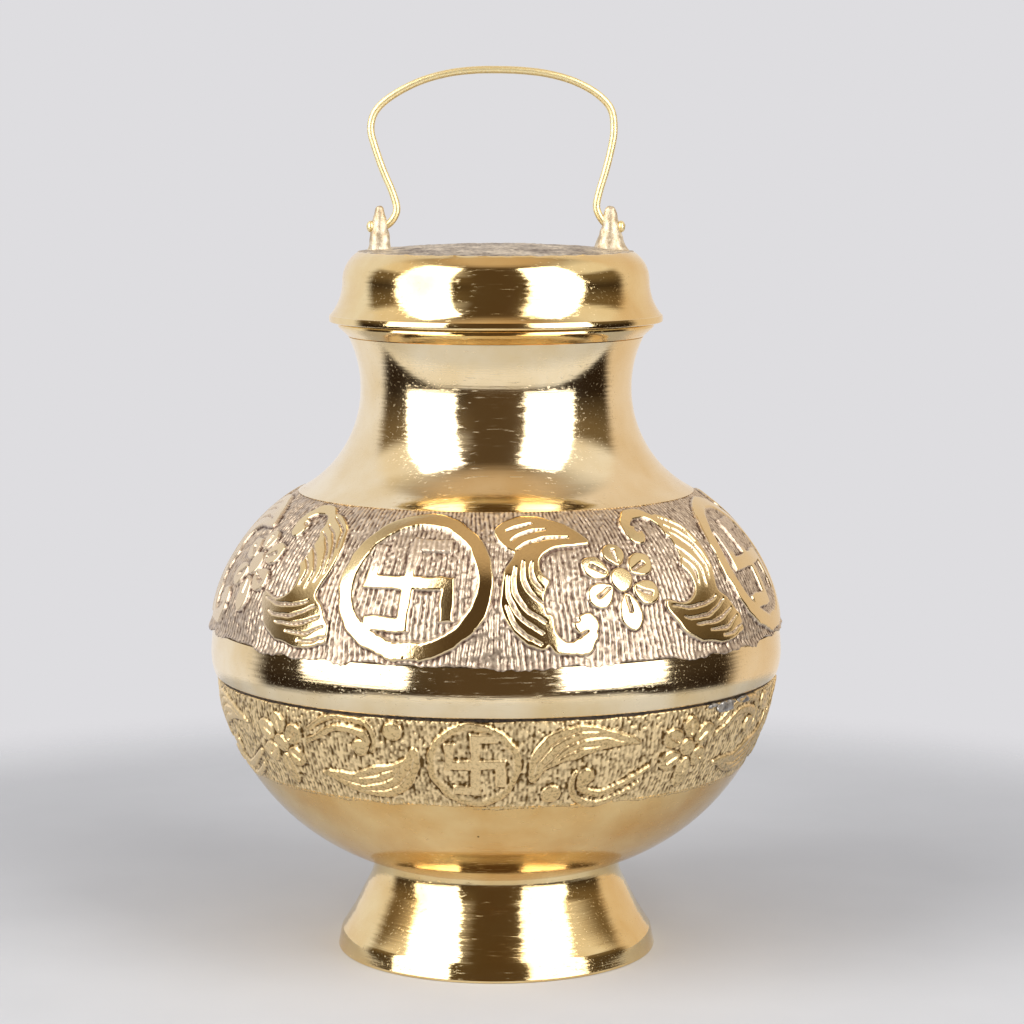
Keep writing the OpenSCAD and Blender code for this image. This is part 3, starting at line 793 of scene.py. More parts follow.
# %% Upper band: the drawing
UP_MM_PER_DEG = 0.974
SIGN_AT = (-17.2, 17.8)
FLOWER_AT = (26.7, 17.4)
LEAF_PIVOT = (27.0, 18.3)
SIGN = {"ring": (16.2, 13.0, 1.055), "shift": (-1.0, -0.6), "sign": (9.5, 10.6), "bars": (3.2, 2.6),
        "hooks": (8.0, 8.2)}
FLOWER = {"boss": 2.5, "reach": 9.2, "width": 5.3, "groove": (0.4, 3.6, 7.0)}
STEM_WIDTHS = (1.2, 1.5, 1.55)
BULB_R = 2.5
EYE_R = 0.7
VEIN_WIDTHS = (0.05, 0.26, 0.1)
LEAF_BODY = [
    (14.5, 25.4), (11.2, 24.5), (9.6, 22.2), (9.7, 19.6), (10.8, 17.6), (9.8, 15.4), (9.7, 12), (10.1, 8.6),
    (10.9, 6), (9.4, 3.8), (6.6, 4.6), (3.6, 6.8), (1.6, 9.8), (0.8, 13.2), (1, 17), (2, 20.8),
]
LEAF_LOBE = [
    (4, 24.2), (2.2, 25.6), (0.2, 28), (-0.6, 30.4), (1.8, 32.8), (5.5, 34.2), (10.5, 34.3), (15.5, 32.6),
    (19.2, 30), (21.8, 26.6), (18.5, 25.8),
]
FINGER_LOBE = [
    (2.6, 23.8), (0.8, 25.6), (-1.1, 28.6), (-3.2, 31.6), (-1.2, 33.7), (4.9, 34.3), (11.4, 33.3),
    (15.8, 30.4), (18.4, 26.6), (18, 24.4),
]
LEAF_STEM = [(10, 9.5), (10.5, 6.2), (12.2, 4.1), (14.4, 3.5), (16.8, 4.2), (18.2, 6)]
HOOK_STEM = [(44.6, 27.5), (44.2, 30.4), (42.2, 32.6), (39.2, 33.5), (36.2, 33), (33.9, 31), (33.6, 28.6)]
STEMS = [(LEAF_STEM, (17.5, 8.3), (15.3, 9.5)), (HOOK_STEM, (35, 27.7), (36.4, 28.9))]
LOBE_VEINS = [
    [(4.6, 25.2), (6.6, 26.5), (9.5, 27.4), (13, 27.9), (17, 27.8)],
    [(3.4, 27.2), (5.5, 28.7), (8.6, 29.9), (12, 30.3)],
    [(2.4, 30), (5, 31), (9, 32)],
]
FINGER_VEINS = [
    [(16.8, 25.9), (10.5, 26.5), (4.4, 25)],
    [(14.8, 28.3), (8.4, 28.5), (2.4, 26.2)],
    [(11.7, 30), (5.3, 29.9), (0.8, 28)],
    [(8.3, 31.6), (3.4, 31.4), (-0.6, 30)],
    [(4.6, 32.9), (1, 32.9), (-1.8, 31.9)],
]
LOBES = [(LEAF_LOBE, LOBE_VEINS), (FINGER_LOBE, FINGER_VEINS)]
LEAF_VEINS = [
    [(7.9, 22), (7.5, 20), (8, 17.8), (9.4, 16)],
    [(5.9, 22.4), (5.6, 19.5), (6.2, 17), (7.7, 14.6), (9.5, 12.9)],
    [(4.1, 21), (3.8, 17.4), (4.6, 14), (6.6, 11.2), (9.4, 9.2)],
    [(2.6, 19), (2.5, 15.4), (3.3, 12.4), (5.2, 9.8), (9, 7.2)],
    [(2.1, 12.6), (3.2, 9.4), (5.4, 7), (8.8, 5.1)],
    [(15, 5.6), (16.3, 6.1), (17.5, 6.9)],
]


def half_turn(points):
    """The same points turned half round between the two leaves."""
    return [(2 * LEAF_PIVOT[0] - a, 2 * LEAF_PIVOT[1] - v) for a, v in points]


def upper_drawing(degrees, rise):
    """How far the upper band is raised, 0 to 1, with and without its veins, and where its tops are dull."""
    flat = np.stack((degrees * UP_MM_PER_DEG, rise), axis=1)

    def mm(points):
        return [(a * UP_MM_PER_DEG, v) for a, v in points]

    sign, cross = medallion(flat, mm([SIGN_AT])[0], **SIGN)
    dull = cross * np.clip((rise - SIGN_AT[1] - 0.6) / 2.4, 0, 1)
    height, outline = flower(flat, mm([FLOWER_AT])[0], **FLOWER)
    height = np.maximum(height, sign)
    outline = np.maximum(outline, sign)
    for turn, (stem, bulb, eye), (lobe, lobe_veins) in zip((list, half_turn), STEMS, LOBES):
        leaf = up(field(flat, mm(turn(LEAF_BODY + lobe))))
        leaf = np.maximum(leaf, up(stroke(flat, mm(stem), STEM_WIDTHS)))
        leaf = np.maximum(leaf, up(disc(flat, mm([bulb])[0], BULB_R)))
        outline = np.maximum(outline, leaf)
        leaf = leaf * (1 - up(disc(flat, mm([eye])[0], EYE_R)))
        for vein in LEAF_VEINS + lobe_veins:
            leaf *= beside_vein(flat, mm(turn(vein)), VEIN_WIDTHS)
        height = np.maximum(height, leaf)
    return height, outline, dull


print("the two leaves have", [len(LEAF_VEINS + veins) for _, veins in LOBES], "veins")

# %% [markdown]
# The lower band is lower and plainer: smaller medallions with a thin ring, flowers, and a scroll with a
# hooked stem, a loose ball and a feathered plume on either side of each medallion. Again the scroll on
# one side is the other one turned half round, this time about the medallion.

# %% Lower band: the drawing
LOW_MM_PER_DEG = 1.03
LOW_MEDALLION_AT = (-4.4, 12.3)
LOW_FLOWER_AT = (41.6, 13.4)
LOW_SIGN = {"ring": (9.5, 8.4, 1), "shift": (0.3, 0.2), "sign": (6.2, 7.0), "bars": (2.1, 2.0),
            "hooks": (4.9, 4.9)}
LOW_FLOWER = {"boss": 1.9, "reach": 7.6, "width": 4.3, "groove": (0.3, 3.0, 5.9)}
SCROLL_WIDTHS = (0.5, 0.8, 0.8)
BACK_WIDTHS = (0.4, 0.75, 0.5)
PLUME_VEIN_WIDTHS = (0.04, 0.24, 0.06)
SCROLL_STEM = [(-41, 14.6), (-37, 17), (-33, 18.9), (-29, 19.2), (-26.2, 17.8), (-26.2, 15.8)]
SCROLL_BACK = [(-39.5, 18), (-35, 20.8), (-30, 21.7), (-26, 20.6), (-24.2, 17.4), (-24.8, 14.6)]
SCROLL_BALLS = [(-27.2, 15.4, 1.9), (-20.2, 19.3, 2.05)]
PLUME_FIELD = [
    (-38.5, 8.6), (-34, 6.2), (-29.5, 4.4), (-25, 3.7), (-20.4, 4.7), (-17, 7.6), (-15.4, 11.4),
    (-15.4, 15.6), (-16.6, 16), (-18.4, 13.6), (-21.4, 11.9), (-25, 11.2), (-28.6, 9.4), (-33, 9),
]
PLUME_VEINS = [
    [(-34, 7.6), (-29.4, 6.4), (-25, 7), (-21.4, 9), (-18.2, 12.6)],
    [(-29, 5.2), (-24.6, 5.3), (-20.4, 7.2), (-17.4, 10.6), (-16.3, 14)],
    [(-29.5, 8), (-26, 8.6), (-23, 9.8), (-21, 11)],
]


def half_turn_low(points):
    """The same points turned half round about the lower medallion."""
    return [(2 * LOW_MEDALLION_AT[0] - p[0], 2 * LOW_MEDALLION_AT[1] - p[1], *p[2:]) for p in points]


def lower_drawing(degrees, rise):
    """How far the lower band is raised, 0 to 1, with and without its veins, and where its tops are dull."""
    flat = np.stack((degrees * LOW_MM_PER_DEG, rise), axis=1)

    def mm(points):
        return [(p[0] * LOW_MM_PER_DEG, p[1]) for p in points]

    sign, cross = medallion(flat, mm([LOW_MEDALLION_AT])[0], **LOW_SIGN)
    height, outline = flower(flat, mm([LOW_FLOWER_AT])[0], **LOW_FLOWER)
    height = np.maximum(height, sign)
    outline = np.maximum(outline, sign)
    for turn in (list, half_turn_low):
        scroll = up(stroke(flat, mm(turn(SCROLL_STEM)), SCROLL_WIDTHS))
        scroll = np.maximum(scroll, up(stroke(flat, mm(turn(SCROLL_BACK)), BACK_WIDTHS)))
        for ball in turn(SCROLL_BALLS):
            scroll = np.maximum(scroll, up(disc(flat, mm([ball])[0], ball[2])))
        plume = up(field(flat, mm(turn(PLUME_FIELD))))
        outline = np.maximum.reduce([outline, scroll, plume])
        for vein in PLUME_VEINS:
            plume = plume * beside_vein(flat, mm(turn(vein)), PLUME_VEIN_WIDTHS)
        height = np.maximum.reduce([height, scroll, plume])
    return height, outline, 0.5 * cross


print("the plume has", len(PLUME_VEINS), "veins")

# %% [markdown]
# A quarter of a band is a grid of small cells bent onto the shell's curve and pushed out by the drawing.
# No operator can press a drawing into a surface, so these points are set by rule. The quarter gets a
# plain back inside the shell's bed and straight sides, so it is closed, and it is copied three times.
# A band's settings: heights of ground and tops; texture as hatch lines, their depth, the roughness and
# its share on the tops; ragged edge at the foot, its drop and at the top; foot as polish, fade and lift.

# %% Relief helper
QUARTER = 90.0
COLUMNS = 384
BACK_ROWS = 8
WOBBLE_MM = 0.28
MOAT_MM = 0.12
MOAT_CELLS = 3


def patchy(columns, rows, cell_columns, cell_rows, seed):
    """Smooth random values, -1 to 1, on a grid that joins up at its two ends."""
    knots = np.random.default_rng(seed).uniform(-1, 1, (cell_columns, cell_rows + 2))
    x = np.linspace(0, cell_columns, columns)
    y = np.linspace(0, cell_rows, rows)
    ix = np.floor(x).astype(int)
    iy = np.floor(y).astype(int)
    fx = x - ix
    fy = y - iy
    fx = (fx * fx * (3 - 2 * fx))[:, None]
    fy = (fy * fy * (3 - 2 * fy))[None, :]
    left, right = ix % cell_columns, (ix + 1) % cell_columns
    low = knots[left][:, iy] * (1 - fx) + knots[right][:, iy] * fx
    high = knots[left][:, iy + 1] * (1 - fx) + knots[right][:, iy + 1] * fx
    return low * (1 - fy) + high * fy


def around_edges(raised):
    """How near a raised edge each low place is: the raised values spread out, less themselves."""
    spread = raised.copy()
    for _ in range(MOAT_CELLS):
        spread = (np.roll(spread, 1, 0) + spread + np.roll(spread, -1, 0)) / 3
        padded = np.pad(spread, ((0, 0), (1, 1)), mode="edge")
        spread = (padded[:, :-2] + padded[:, 1:-1] + padded[:, 2:]) / 3
    return np.clip(2.2 * (spread - raised), 0, 1)


def relief_quarter(drawing, start, rise_range, rows, surface, heights, texture, ragged, foot, seed):
    """Points, faces, polish, and dirt with painted shade, of a quarter of a band, from the settings above."""
    columns = COLUMNS + 1
    ground, tops = heights
    hatches, hatch_mm, rough_mm, top_grain = texture
    foot_polish, fade_mm, foot_lift = foot
    ragged_foot, foot_drop, ragged_top = ragged
    degrees = np.linspace(start, start + QUARTER, columns)
    rise = np.linspace(rise_range[0], rise_range[1], rows)
    deg_grid, rise_grid = np.meshgrid(degrees, rise, indexing="ij")
    drawn_deg = deg_grid + WOBBLE_MM * patchy(columns, rows, 36, rows // 12, seed + 5)
    drawn_rise = rise_grid + WOBBLE_MM * patchy(columns, rows, 36, rows // 12, seed + 6)
    drawn = drawing(drawn_deg.ravel(), drawn_rise.ravel())
    raised, outline, dull = (part.reshape(columns, rows) for part in drawn)
    wander = patchy(columns, rows, 12, 5, seed) * 0.5
    phase = 2 * math.pi * (deg_grid * hatches / QUARTER + wander)
    broken = 0.5 + 0.5 * patchy(columns, rows, hatches, rows // 4, seed + 1)
    hatch = np.cos(phase) * broken
    rough = patchy(columns, rows, 2 * hatches, rows // 3, seed + 2)
    swell = patchy(columns, rows, 16, 6, seed + 3)
    moat = around_edges(outline)
    skin = 1 - raised + 0.5 * dull
    fade = np.clip((rise_grid - rise_range[0]) / fade_mm + 0.7 * rough, 0, 1)
    out = ground + (tops - ground) * raised
    out += skin * hatch_mm * hatch + np.maximum(skin, top_grain) * rough_mm * rough
    out = out * (0.3 + 0.7 * fade) + foot_lift * (1 - fade) + 0.05 * swell - MOAT_MM * moat
    jagged = patchy(columns, 1, 26, 1, seed + 4) + 0.3 * patchy(columns, 1, 110, 1, seed + 7)
    down = np.linspace(1, 0, rows)[None, :]
    depth = rise_grid + (ragged_foot * jagged - foot_drop) * down ** 6
    depth -= ragged_top * np.abs(jagged) * (1 - down) ** 12
    r, z = surface(depth, out)
    back_rise = np.linspace(rise_range[0], rise_range[1], BACK_ROWS + 1)
    back_deg, back_grid = np.meshgrid(degrees, back_rise, indexing="ij")
    br, bz = surface(back_grid, np.full_like(back_grid, 0.1 - BED))
    angle = np.radians(np.concatenate((deg_grid.ravel(), back_deg.ravel())))
    radius = np.concatenate((r.ravel(), br.ravel()))
    level = np.concatenate((z.ravel(), bz.ravel()))
    points = np.stack((radius * np.sin(angle), -radius * np.cos(angle), level), axis=1) * MM
    plain_back = np.zeros(back_grid.size)
    # Partly dirt and partly painted light: the moat term is painted shade along the foot of every raised
    # edge, and the skin term is painted shade in the hatch grooves and a painted highlight on the hatch
    # crests.
    dirt_and_shade_sum = skin * (0.36 - 3.1 * (hatch_mm * hatch + rough_mm * rough)) + moat * (0.9 - 0.6 * rough)
    hollow = np.concatenate((dirt_and_shade_sum.ravel(), plain_back))
    buffed = np.maximum(raised * (1 - 0.55 * dull), foot_polish * (1 - fade))
    polish = np.concatenate((buffed.ravel(), plain_back))
    return points, quarter_faces(columns, rows), polish, hollow


def quarter_faces(columns, rows):
    """Front cells, back cells, the top and bottom edges and the two flat sides of a quarter."""
    base = columns * rows
    back = BACK_ROWS + 1
    faces = []
    for i in range(columns - 1):
        here, there = i * rows, (i + 1) * rows
        faces += [(here + j, there + j, there + j + 1, here + j + 1) for j in range(rows - 1)]
        b0, b1 = base + i * back, base + (i + 1) * back
        faces += [(b0 + j, b0 + j + 1, b1 + j + 1, b1 + j) for j in range(BACK_ROWS)]
        faces.append((here, b0, b1, there))
        faces.append((here + rows - 1, there + rows - 1, b1 + BACK_ROWS, b0 + BACK_ROWS))
    stops = [round(k * (rows - 1) / BACK_ROWS) for k in range(back)]
    last, last_back = (columns - 1) * rows, base + (columns - 1) * back
    for k in range(BACK_ROWS):
        span = range(stops[k], stops[k + 1] + 1)
        faces.append((base + k, *span, base + k + 1))
        faces.append((last_back + k + 1, *[last + j for j in reversed(span)], last_back + k))
    return faces


def relief_band(name, quarter, material, node):
    """Four copies of a quarter, each with its own mesh, turned to their places."""
    points, faces, polish, hollow = quarter
    for k in range(4):
        a = math.radians(QUARTER * k)
        spin = np.array(((math.cos(a), -math.sin(a), 0), (math.sin(a), math.cos(a), 0), (0, 0, 1)))
        mesh = bpy.data.meshes.new(f"{name}_{k + 1}")
        mesh.from_pydata((points @ spin.T).tolist(), [], faces)
        for label, values in (("polish", polish), ("hollow", hollow)):
            mesh.attributes.new(label, "FLOAT", "POINT").data.foreach_set("value", values.astype(np.float32))
        mesh.shade_smooth()
        piece = bpy.data.objects.new(mesh.name, mesh)
        bpy.context.scene.collection.objects.link(piece)
        finished(piece, material, "pot", "body_brass", node)


print("a quarter has", COLUMNS, "columns of cells")

# %% [markdown]
# The shoulder's band runs from a slightly ragged lip over the belt up to the polished neck. Its ground
# sits just under the shell's curve and its tops just over it, as a turned and buffed casting leaves them.

# %% Shoulder relief
SHOULDER_ROWS = 172
LIP_MM = 0.38
LIP_GAP = 0.05
SHOULDER_BAND_START = -34.0
SHOULDER_BAND = {
    "heights": (-0.22, 0.42), "texture": (78, 0.18, 0.1, 0), "ragged": (0.8, 0, 0), "foot": (0, 1, 0),
    "seed": 11,
}


def shoulder_surface(rise, out):
    """Radius and height of the shoulder at a rise along it, pushed out by some millimetres."""
    angle = math.radians(SHOULDER_START_A) + rise / SHOULDER_R
    lip = LIP_MM * np.clip(1 - rise / 1.2, 0, 1)
    reach = SHOULDER_R + out + np.where(out > 0.2 - BED, lip, 0)
    return SHOULDER_CENTRE[0] + reach * np.cos(angle), SHOULDER_CENTRE[1] + reach * np.sin(angle)


shoulder_quarter = relief_quarter(upper_drawing, SHOULDER_BAND_START, (LIP_GAP, BAND_LENGTH), SHOULDER_ROWS,
                                  shoulder_surface, **SHOULDER_BAND)
relief_band("shoulder_relief", shoulder_quarter, shoulder_brass, "upper_body")

# %% [markdown]
# The bowl's band lies between the seam and the buffed underside. Its lower edge was trimmed by eye with
# a file, so it wanders a little.

# %% Bowl relief
BOWL_ROWS = 96
BOWL_RISE_A = -32.87
SEAM_GAP = 0.2
BOWL_BAND_START = -40.6
BOWL_BAND = {
    "heights": (-0.26, 0.3), "texture": (92, 0.11, 0.16, 0.4), "ragged": (0.4, 0.5, 0.35),
    "foot": (1, 1.8, 0.12), "seed": 23,
}


def bowl_surface(rise, out):
    """Radius and height of the bowl at a rise along it, pushed out by some millimetres."""
    angle = math.radians(BOWL_RISE_A) + rise / BOWL_R
    reach = BOWL_R + out
    return BOWL_CENTRE[0] + reach * np.cos(angle), BOWL_CENTRE[1] + reach * np.sin(angle)


bowl_start = math.radians(BOWL_BAND_A - BOWL_RISE_A) * BOWL_R
bowl_end = math.radians(BOWL_SEAM_A - BOWL_RISE_A) * BOWL_R - SEAM_GAP
bowl_quarter = relief_quarter(lower_drawing, BOWL_BAND_START, (bowl_start, bowl_end), BOWL_ROWS, bowl_surface,
                              **BOWL_BAND)
relief_band("bowl_relief", bowl_quarter, bowl_band_brass, "bowl")

# %% [markdown]
# Under the belt the two halves were sweated together with soft solder. What shows is a dark line, and
# on the right a place where the solder ran out and was wiped over the metal.

# %% Belly seam
SEAM_R = 60.5
seam_section = [(59.7, seam_z - 0.8), (SEAM_R - 0.3, seam_z - 0.7), (SEAM_R, seam_z - 0.4), (SEAM_R, belt_z),
                (SEAM_R - 0.3, belt_z + 0.3), (59.7, belt_z + 0.2), (59.7, seam_z - 0.8)]
seam = turned("belly_seam", seam_section)
finished(seam, seam_dirt, "pot", "solder", "belly_solder")
print("the seam shows", round(belt_z - seam_z + SEAM_GAP, 2), "mm high")

# %% [markdown]
# The solder that ran out set in three flat runs below the seam. Each is a ball pressed flat against the
# bowl, drawn out along the seam, and made uneven with a Displace modifier.

# %% Solder runs
RUNS = [(52, 3.9, 1.2), (57.6, 2.6, 0.75), (47.2, 1.7, 0.5)]
RUN_FLAT = 0.5
RUN_LUMP_MM = 0.9
run_skin = bpy.data.textures.new("solder_skin", "CLOUDS")
run_skin.noise_scale = 1.7 * MM
for count, (bearing, half_long, half_high) in enumerate(RUNS, 1):
    clear_selection()
    bpy.ops.mesh.primitive_uv_sphere_add(segments=64, ring_count=32, radius=MM)
    run = named(f"solder_run_{count}")
    bpy.ops.object.mode_set(mode="EDIT")
    bpy.ops.mesh.select_all(action="SELECT")
    bpy.ops.transform.resize(value=(half_long, RUN_FLAT, half_high), center_override=(0, 0, 0))
    bpy.ops.object.mode_set(mode="OBJECT")
    a = math.radians(bearing)
    reach = bowl_surface(bowl_end - half_high, 0)[0] - 0.1
    run.location = (reach * math.sin(a) * MM, -reach * math.cos(a) * MM, (seam_z - half_high) * MM)
    run.rotation_euler.z = a
    bpy.ops.object.transform_apply(location=True, rotation=True, scale=True)
    worked(run, "DISPLACE", texture=run_skin, texture_coords="LOCAL", strength=RUN_LUMP_MM * MM)
    bpy.ops.object.shade_smooth()
    finished(run, soft_solder, "pot", "solder", "belly_solder")

# %% [markdown]
# Inside the foot a fillet of the same solder holds the bowl. It is seen only from below: a hollow
# quarter round with a slightly wavy skin.

# %% Foot solder
fillet_low, fillet_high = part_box("foot_solder")
fillet_r = fillet_high.x / MM
fillet_leg = (fillet_high.z - fillet_low.z) / MM
fillet_centre = (fillet_r - fillet_leg, foot_top - fillet_leg)
fillet_section = arc(fillet_centre, fillet_leg, 0, 90, 10)
fillet_section += [(fillet_r, foot_top), (fillet_r, foot_top - fillet_leg)]
fillet = turned("foot_solder_fillet", fillet_section, 96)
finished(fillet, soft_solder, "pot", "solder", "foot_solder")

# %% [markdown]
# The mouth collar is a turned ring soldered into the neck. Its flared seat shows under the lid, and the
# lid screws over the part above, which carries two turns of a blunt thread. The thread is one small
# section wound up by a Screw modifier, and its two open ends are filled.

# %% Mouth collar and its thread
THREAD_PITCH = 3.0
THREAD_TURNS = 2
THREAD_DEPTH = 0.9
THREAD_ROOT = 1.2
THREAD_CREST = 0.7
THREAD_LEAD = 1.5
THREAD_STEPS = 96
COLLAR_R = 30.0
MOUTH_R = 27.4
SEAT_R = 34.2
neck_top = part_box("upper_body")[1].z / MM
neck_r = NECK_CENTRE[0] + NECK_R * math.cos(math.radians(NECK_TOP_A))
collar_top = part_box("neck_collar")[1].z / MM
seat_z = neck_top + 2.9
collar_section = [(MOUTH_R, neck_top - 3.4), (29.0, neck_top - 3.4), (29.0, neck_top + 0.02)]
collar_section += [(neck_r - 0.15, neck_top + 0.02), (neck_r, neck_top + 0.14), (neck_r + 1.1, seat_z - 1.72)]
collar_section += [(SEAT_R - 0.3, seat_z - 1.0), (SEAT_R, seat_z - 0.62), (SEAT_R, seat_z - 0.2)]
collar_section += [(SEAT_R - 0.2, seat_z), (COLLAR_R + 0.3, seat_z), (COLLAR_R, seat_z + 0.3)]
collar_section += [(COLLAR_R, collar_top - 0.8), (COLLAR_R - 0.8, collar_top), (MOUTH_R + 0.4, collar_top)]
collar_section += [(MOUTH_R, collar_top - 0.4), (MOUTH_R, neck_top - 3.4)]
collar = turned("mouth_collar", collar_section)
finished(collar, turned_brass, "pot", "turned_brass", "neck_collar")


def thread_ridge(name, root_r, outward, start_z, start_angle):
    """A helical ridge: outward is 1 on the collar and -1 inside the lid."""
    clear_selection()
    bpy.ops.mesh.primitive_plane_add(size=1)
    ridge = named(name)
    corners = [(-0.15, -THREAD_ROOT / 2), (THREAD_DEPTH, -THREAD_CREST / 2),
               (-0.15, THREAD_ROOT / 2), (THREAD_DEPTH, THREAD_CREST / 2)]
    a = math.radians(start_angle)
    for vertex, (out, rise) in zip(ridge.data.vertices, corners):
        r = root_r + outward * out
        vertex.co = (r * math.cos(a) * MM, r * math.sin(a) * MM, (start_z + rise) * MM)
    bpy.ops.object.mode_set(mode="EDIT")
    bpy.ops.mesh.select_all(action="SELECT")
    bpy.ops.mesh.delete(type="ONLY_FACE")
    bpy.ops.object.mode_set(mode="OBJECT")
    worked(ridge, "SCREW", angle=2 * math.pi, screw_offset=THREAD_PITCH * MM, iterations=THREAD_TURNS,
           steps=THREAD_STEPS, render_steps=THREAD_STEPS)
    bpy.ops.object.mode_set(mode="EDIT")
    bpy.ops.mesh.select_all(action="SELECT")
    bpy.ops.mesh.remove_doubles(threshold=0.002 * MM)
    bpy.ops.mesh.select_all(action="SELECT")
    bpy.ops.mesh.fill_holes(sides=4)
    bpy.ops.mesh.select_all(action="SELECT")
    bpy.ops.mesh.normals_make_consistent(inside=False)
    bpy.ops.object.mode_set(mode="OBJECT")
    bpy.ops.object.shade_smooth_by_angle(angle=CORNER_ANGLE)
    return ridge


collar_thread = thread_ridge("collar_thread", COLLAR_R, 1, seat_z + THREAD_LEAD, 0)
finished(collar_thread, turned_brass, "pot", "turned_brass", "neck_collar")

# %% [markdown]
# The washer is a flat ring of red rubber in the lid. Its edges are slightly rounded from the mould.

# %% Washer
washer_low, washer_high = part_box("seal_washer")
washer_out = washer_high.x / MM
washer_in = washer_out - 3.0
washer_bottom = washer_low.z / MM
washer_top = washer_high.z / MM
washer_section = [(washer_in, washer_bottom + 0.25), (washer_in + 0.25, washer_bottom),
                  (washer_out - 0.25, washer_bottom), (washer_out, washer_bottom + 0.25),
                  (washer_out, washer_top - 0.25), (washer_out - 0.25, washer_top),
                  (washer_in + 0.25, washer_top), (washer_in, washer_top - 0.25),
                  (washer_in, washer_bottom + 0.25)]
washer = turned("lid_washer", washer_section, 128)
finished(washer, red_rubber, "seal", "seal_rubber", "seal_washer")

# %% [markdown]
# The lid is a cast cap. Its side was turned to a hollow and then a round shoulder and buffed, with a
# bright rim below. Its crown kept the sand's skin, so the crown's faces take the as-cast finish and a
# Displace modifier, held to the crown by a vertex group, gives them real lumps.

# %% Lid
LID_RIM_R = 36.1
LID_WAIST = (33.2, 146.42)
LID_HOLLOW_R = 11.456
LID_ROUND_R = 7.3
LID_ROUND_A = 58.631
LID_BORE_R = 31.2
CROWN_R = 29.7
CROWN_RINGS = 56
CROWN_LUMP_MM = 0.5
lid_low, lid_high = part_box("lid")
lid_z = lid_low.z / MM
crown_top = lid_high.z / MM
ceiling_z = washer_top
lid_edge = arc((LID_WAIST[0] - LID_ROUND_R, LID_WAIST[1]), LID_ROUND_R, 0, LID_ROUND_A, 20)
crown_z = lid_edge[-1][1]
crown_ball = (CROWN_R ** 2 + (crown_top - crown_z) ** 2) / (2 * (crown_top - crown_z))
lid_section = [(0, ceiling_z), (LID_BORE_R, ceiling_z), (LID_BORE_R, lid_z + 0.4), (LID_BORE_R + 0.4, lid_z)]
lid_section += [(LID_RIM_R - 0.35, lid_z), (LID_RIM_R - 0.06, lid_z + 0.15), (LID_RIM_R, lid_z + 0.5)]
lid_section += [(LID_RIM_R, lid_z + 1.15), (LID_RIM_R - 0.1, lid_z + 1.5), (LID_RIM_R - 0.3, lid_z + 1.6)]
lid_section += arc((LID_WAIST[0] + LID_HOLLOW_R, LID_WAIST[1]), LID_HOLLOW_R, 219.3, 180, 24)
lid_section += lid_edge[1:]
for ring in range(1, CROWN_RINGS + 1):
    r = CROWN_R * (1 - ring / CROWN_RINGS)
    lid_section.append((r, crown_top - crown_ball + math.sqrt(crown_ball ** 2 - r ** 2)))
lid = turned("lid_cap", lid_section)
lid.data.materials.append(turned_brass)
lid.data.materials.append(crown_brass)
crown_points = [v.index for v in lid.data.vertices if v.co.z > (crown_z - 0.02) * MM]
for face in lid.data.polygons:
    face.material_index = int(face.center.z > crown_z * MM)
lid.vertex_groups.new(name="crown").add(crown_points, 1, "REPLACE")
sand = bpy.data.textures.new("sand_skin", "CLOUDS")
sand.noise_scale = 1.9 * MM
sand.noise_depth = 3
make_active(lid)
worked(lid, "DISPLACE", texture=sand, texture_coords="LOCAL", direction="Z", strength=CROWN_LUMP_MM * MM,
       mid_level=0.5, vertex_group="crown")
bpy.ops.object.shade_smooth_by_angle(angle=CORNER_ANGLE)
finished(lid, turned_brass, "lid", "turned_brass", "lid")
lid_thread = thread_ridge("lid_thread", LID_BORE_R, -1, seat_z + 1.0, 120)
finished(lid_thread, turned_brass, "lid", "turned_brass", "lid")

# %% [markdown]
# The two ears were cast with wax lugs shaped by hand, so they differ: the left one is a slim cone, the
# right one spreads into a skirt. Each is turned from its own outline, moved to its place, pinched a
# little front to back, and drilled for the handle with a Boolean. A Displace roughens the skin.

# %% Ears
EAR_SLIM = [(4.3, -1.1), (3.4, -0.45), (2.75, 0.1), (2.4, 0.9), (2.25, 2.0), (2.1, 3.4), (1.9, 5.0),
            (1.6, 6.6), (1.22, 8.0), (0.82, 9.2), (0.45, 9.65), (0, 9.8)]
EAR_BROAD = [(5.8, -1.3), (4.9, -0.5), (4.1, 0.2), (3.5, 1.0), (3.05, 2.0), (2.6, 3.3), (2.15, 4.8),
             (1.78, 6.4), (1.42, 8.0), (1.05, 9.2), (0.6, 9.68), (0, 9.8)]
EAR_SLIM_X = -25.1
EAR_BROAD_X = 24.7
EAR_PINCH = 0.86
EAR_STEPS = 64
HOLE_R = 0.88
EAR_LUMP_MM = 0.35
skin = bpy.data.textures.new("wax_skin", "CLOUDS")
skin.noise_scale = 1.6 * MM
swing = next(j for j in frame["record"]["behaviour"]["joints"] if j["name"] == "bail_swing")
pivot = swing["pos_m"][2] / MM


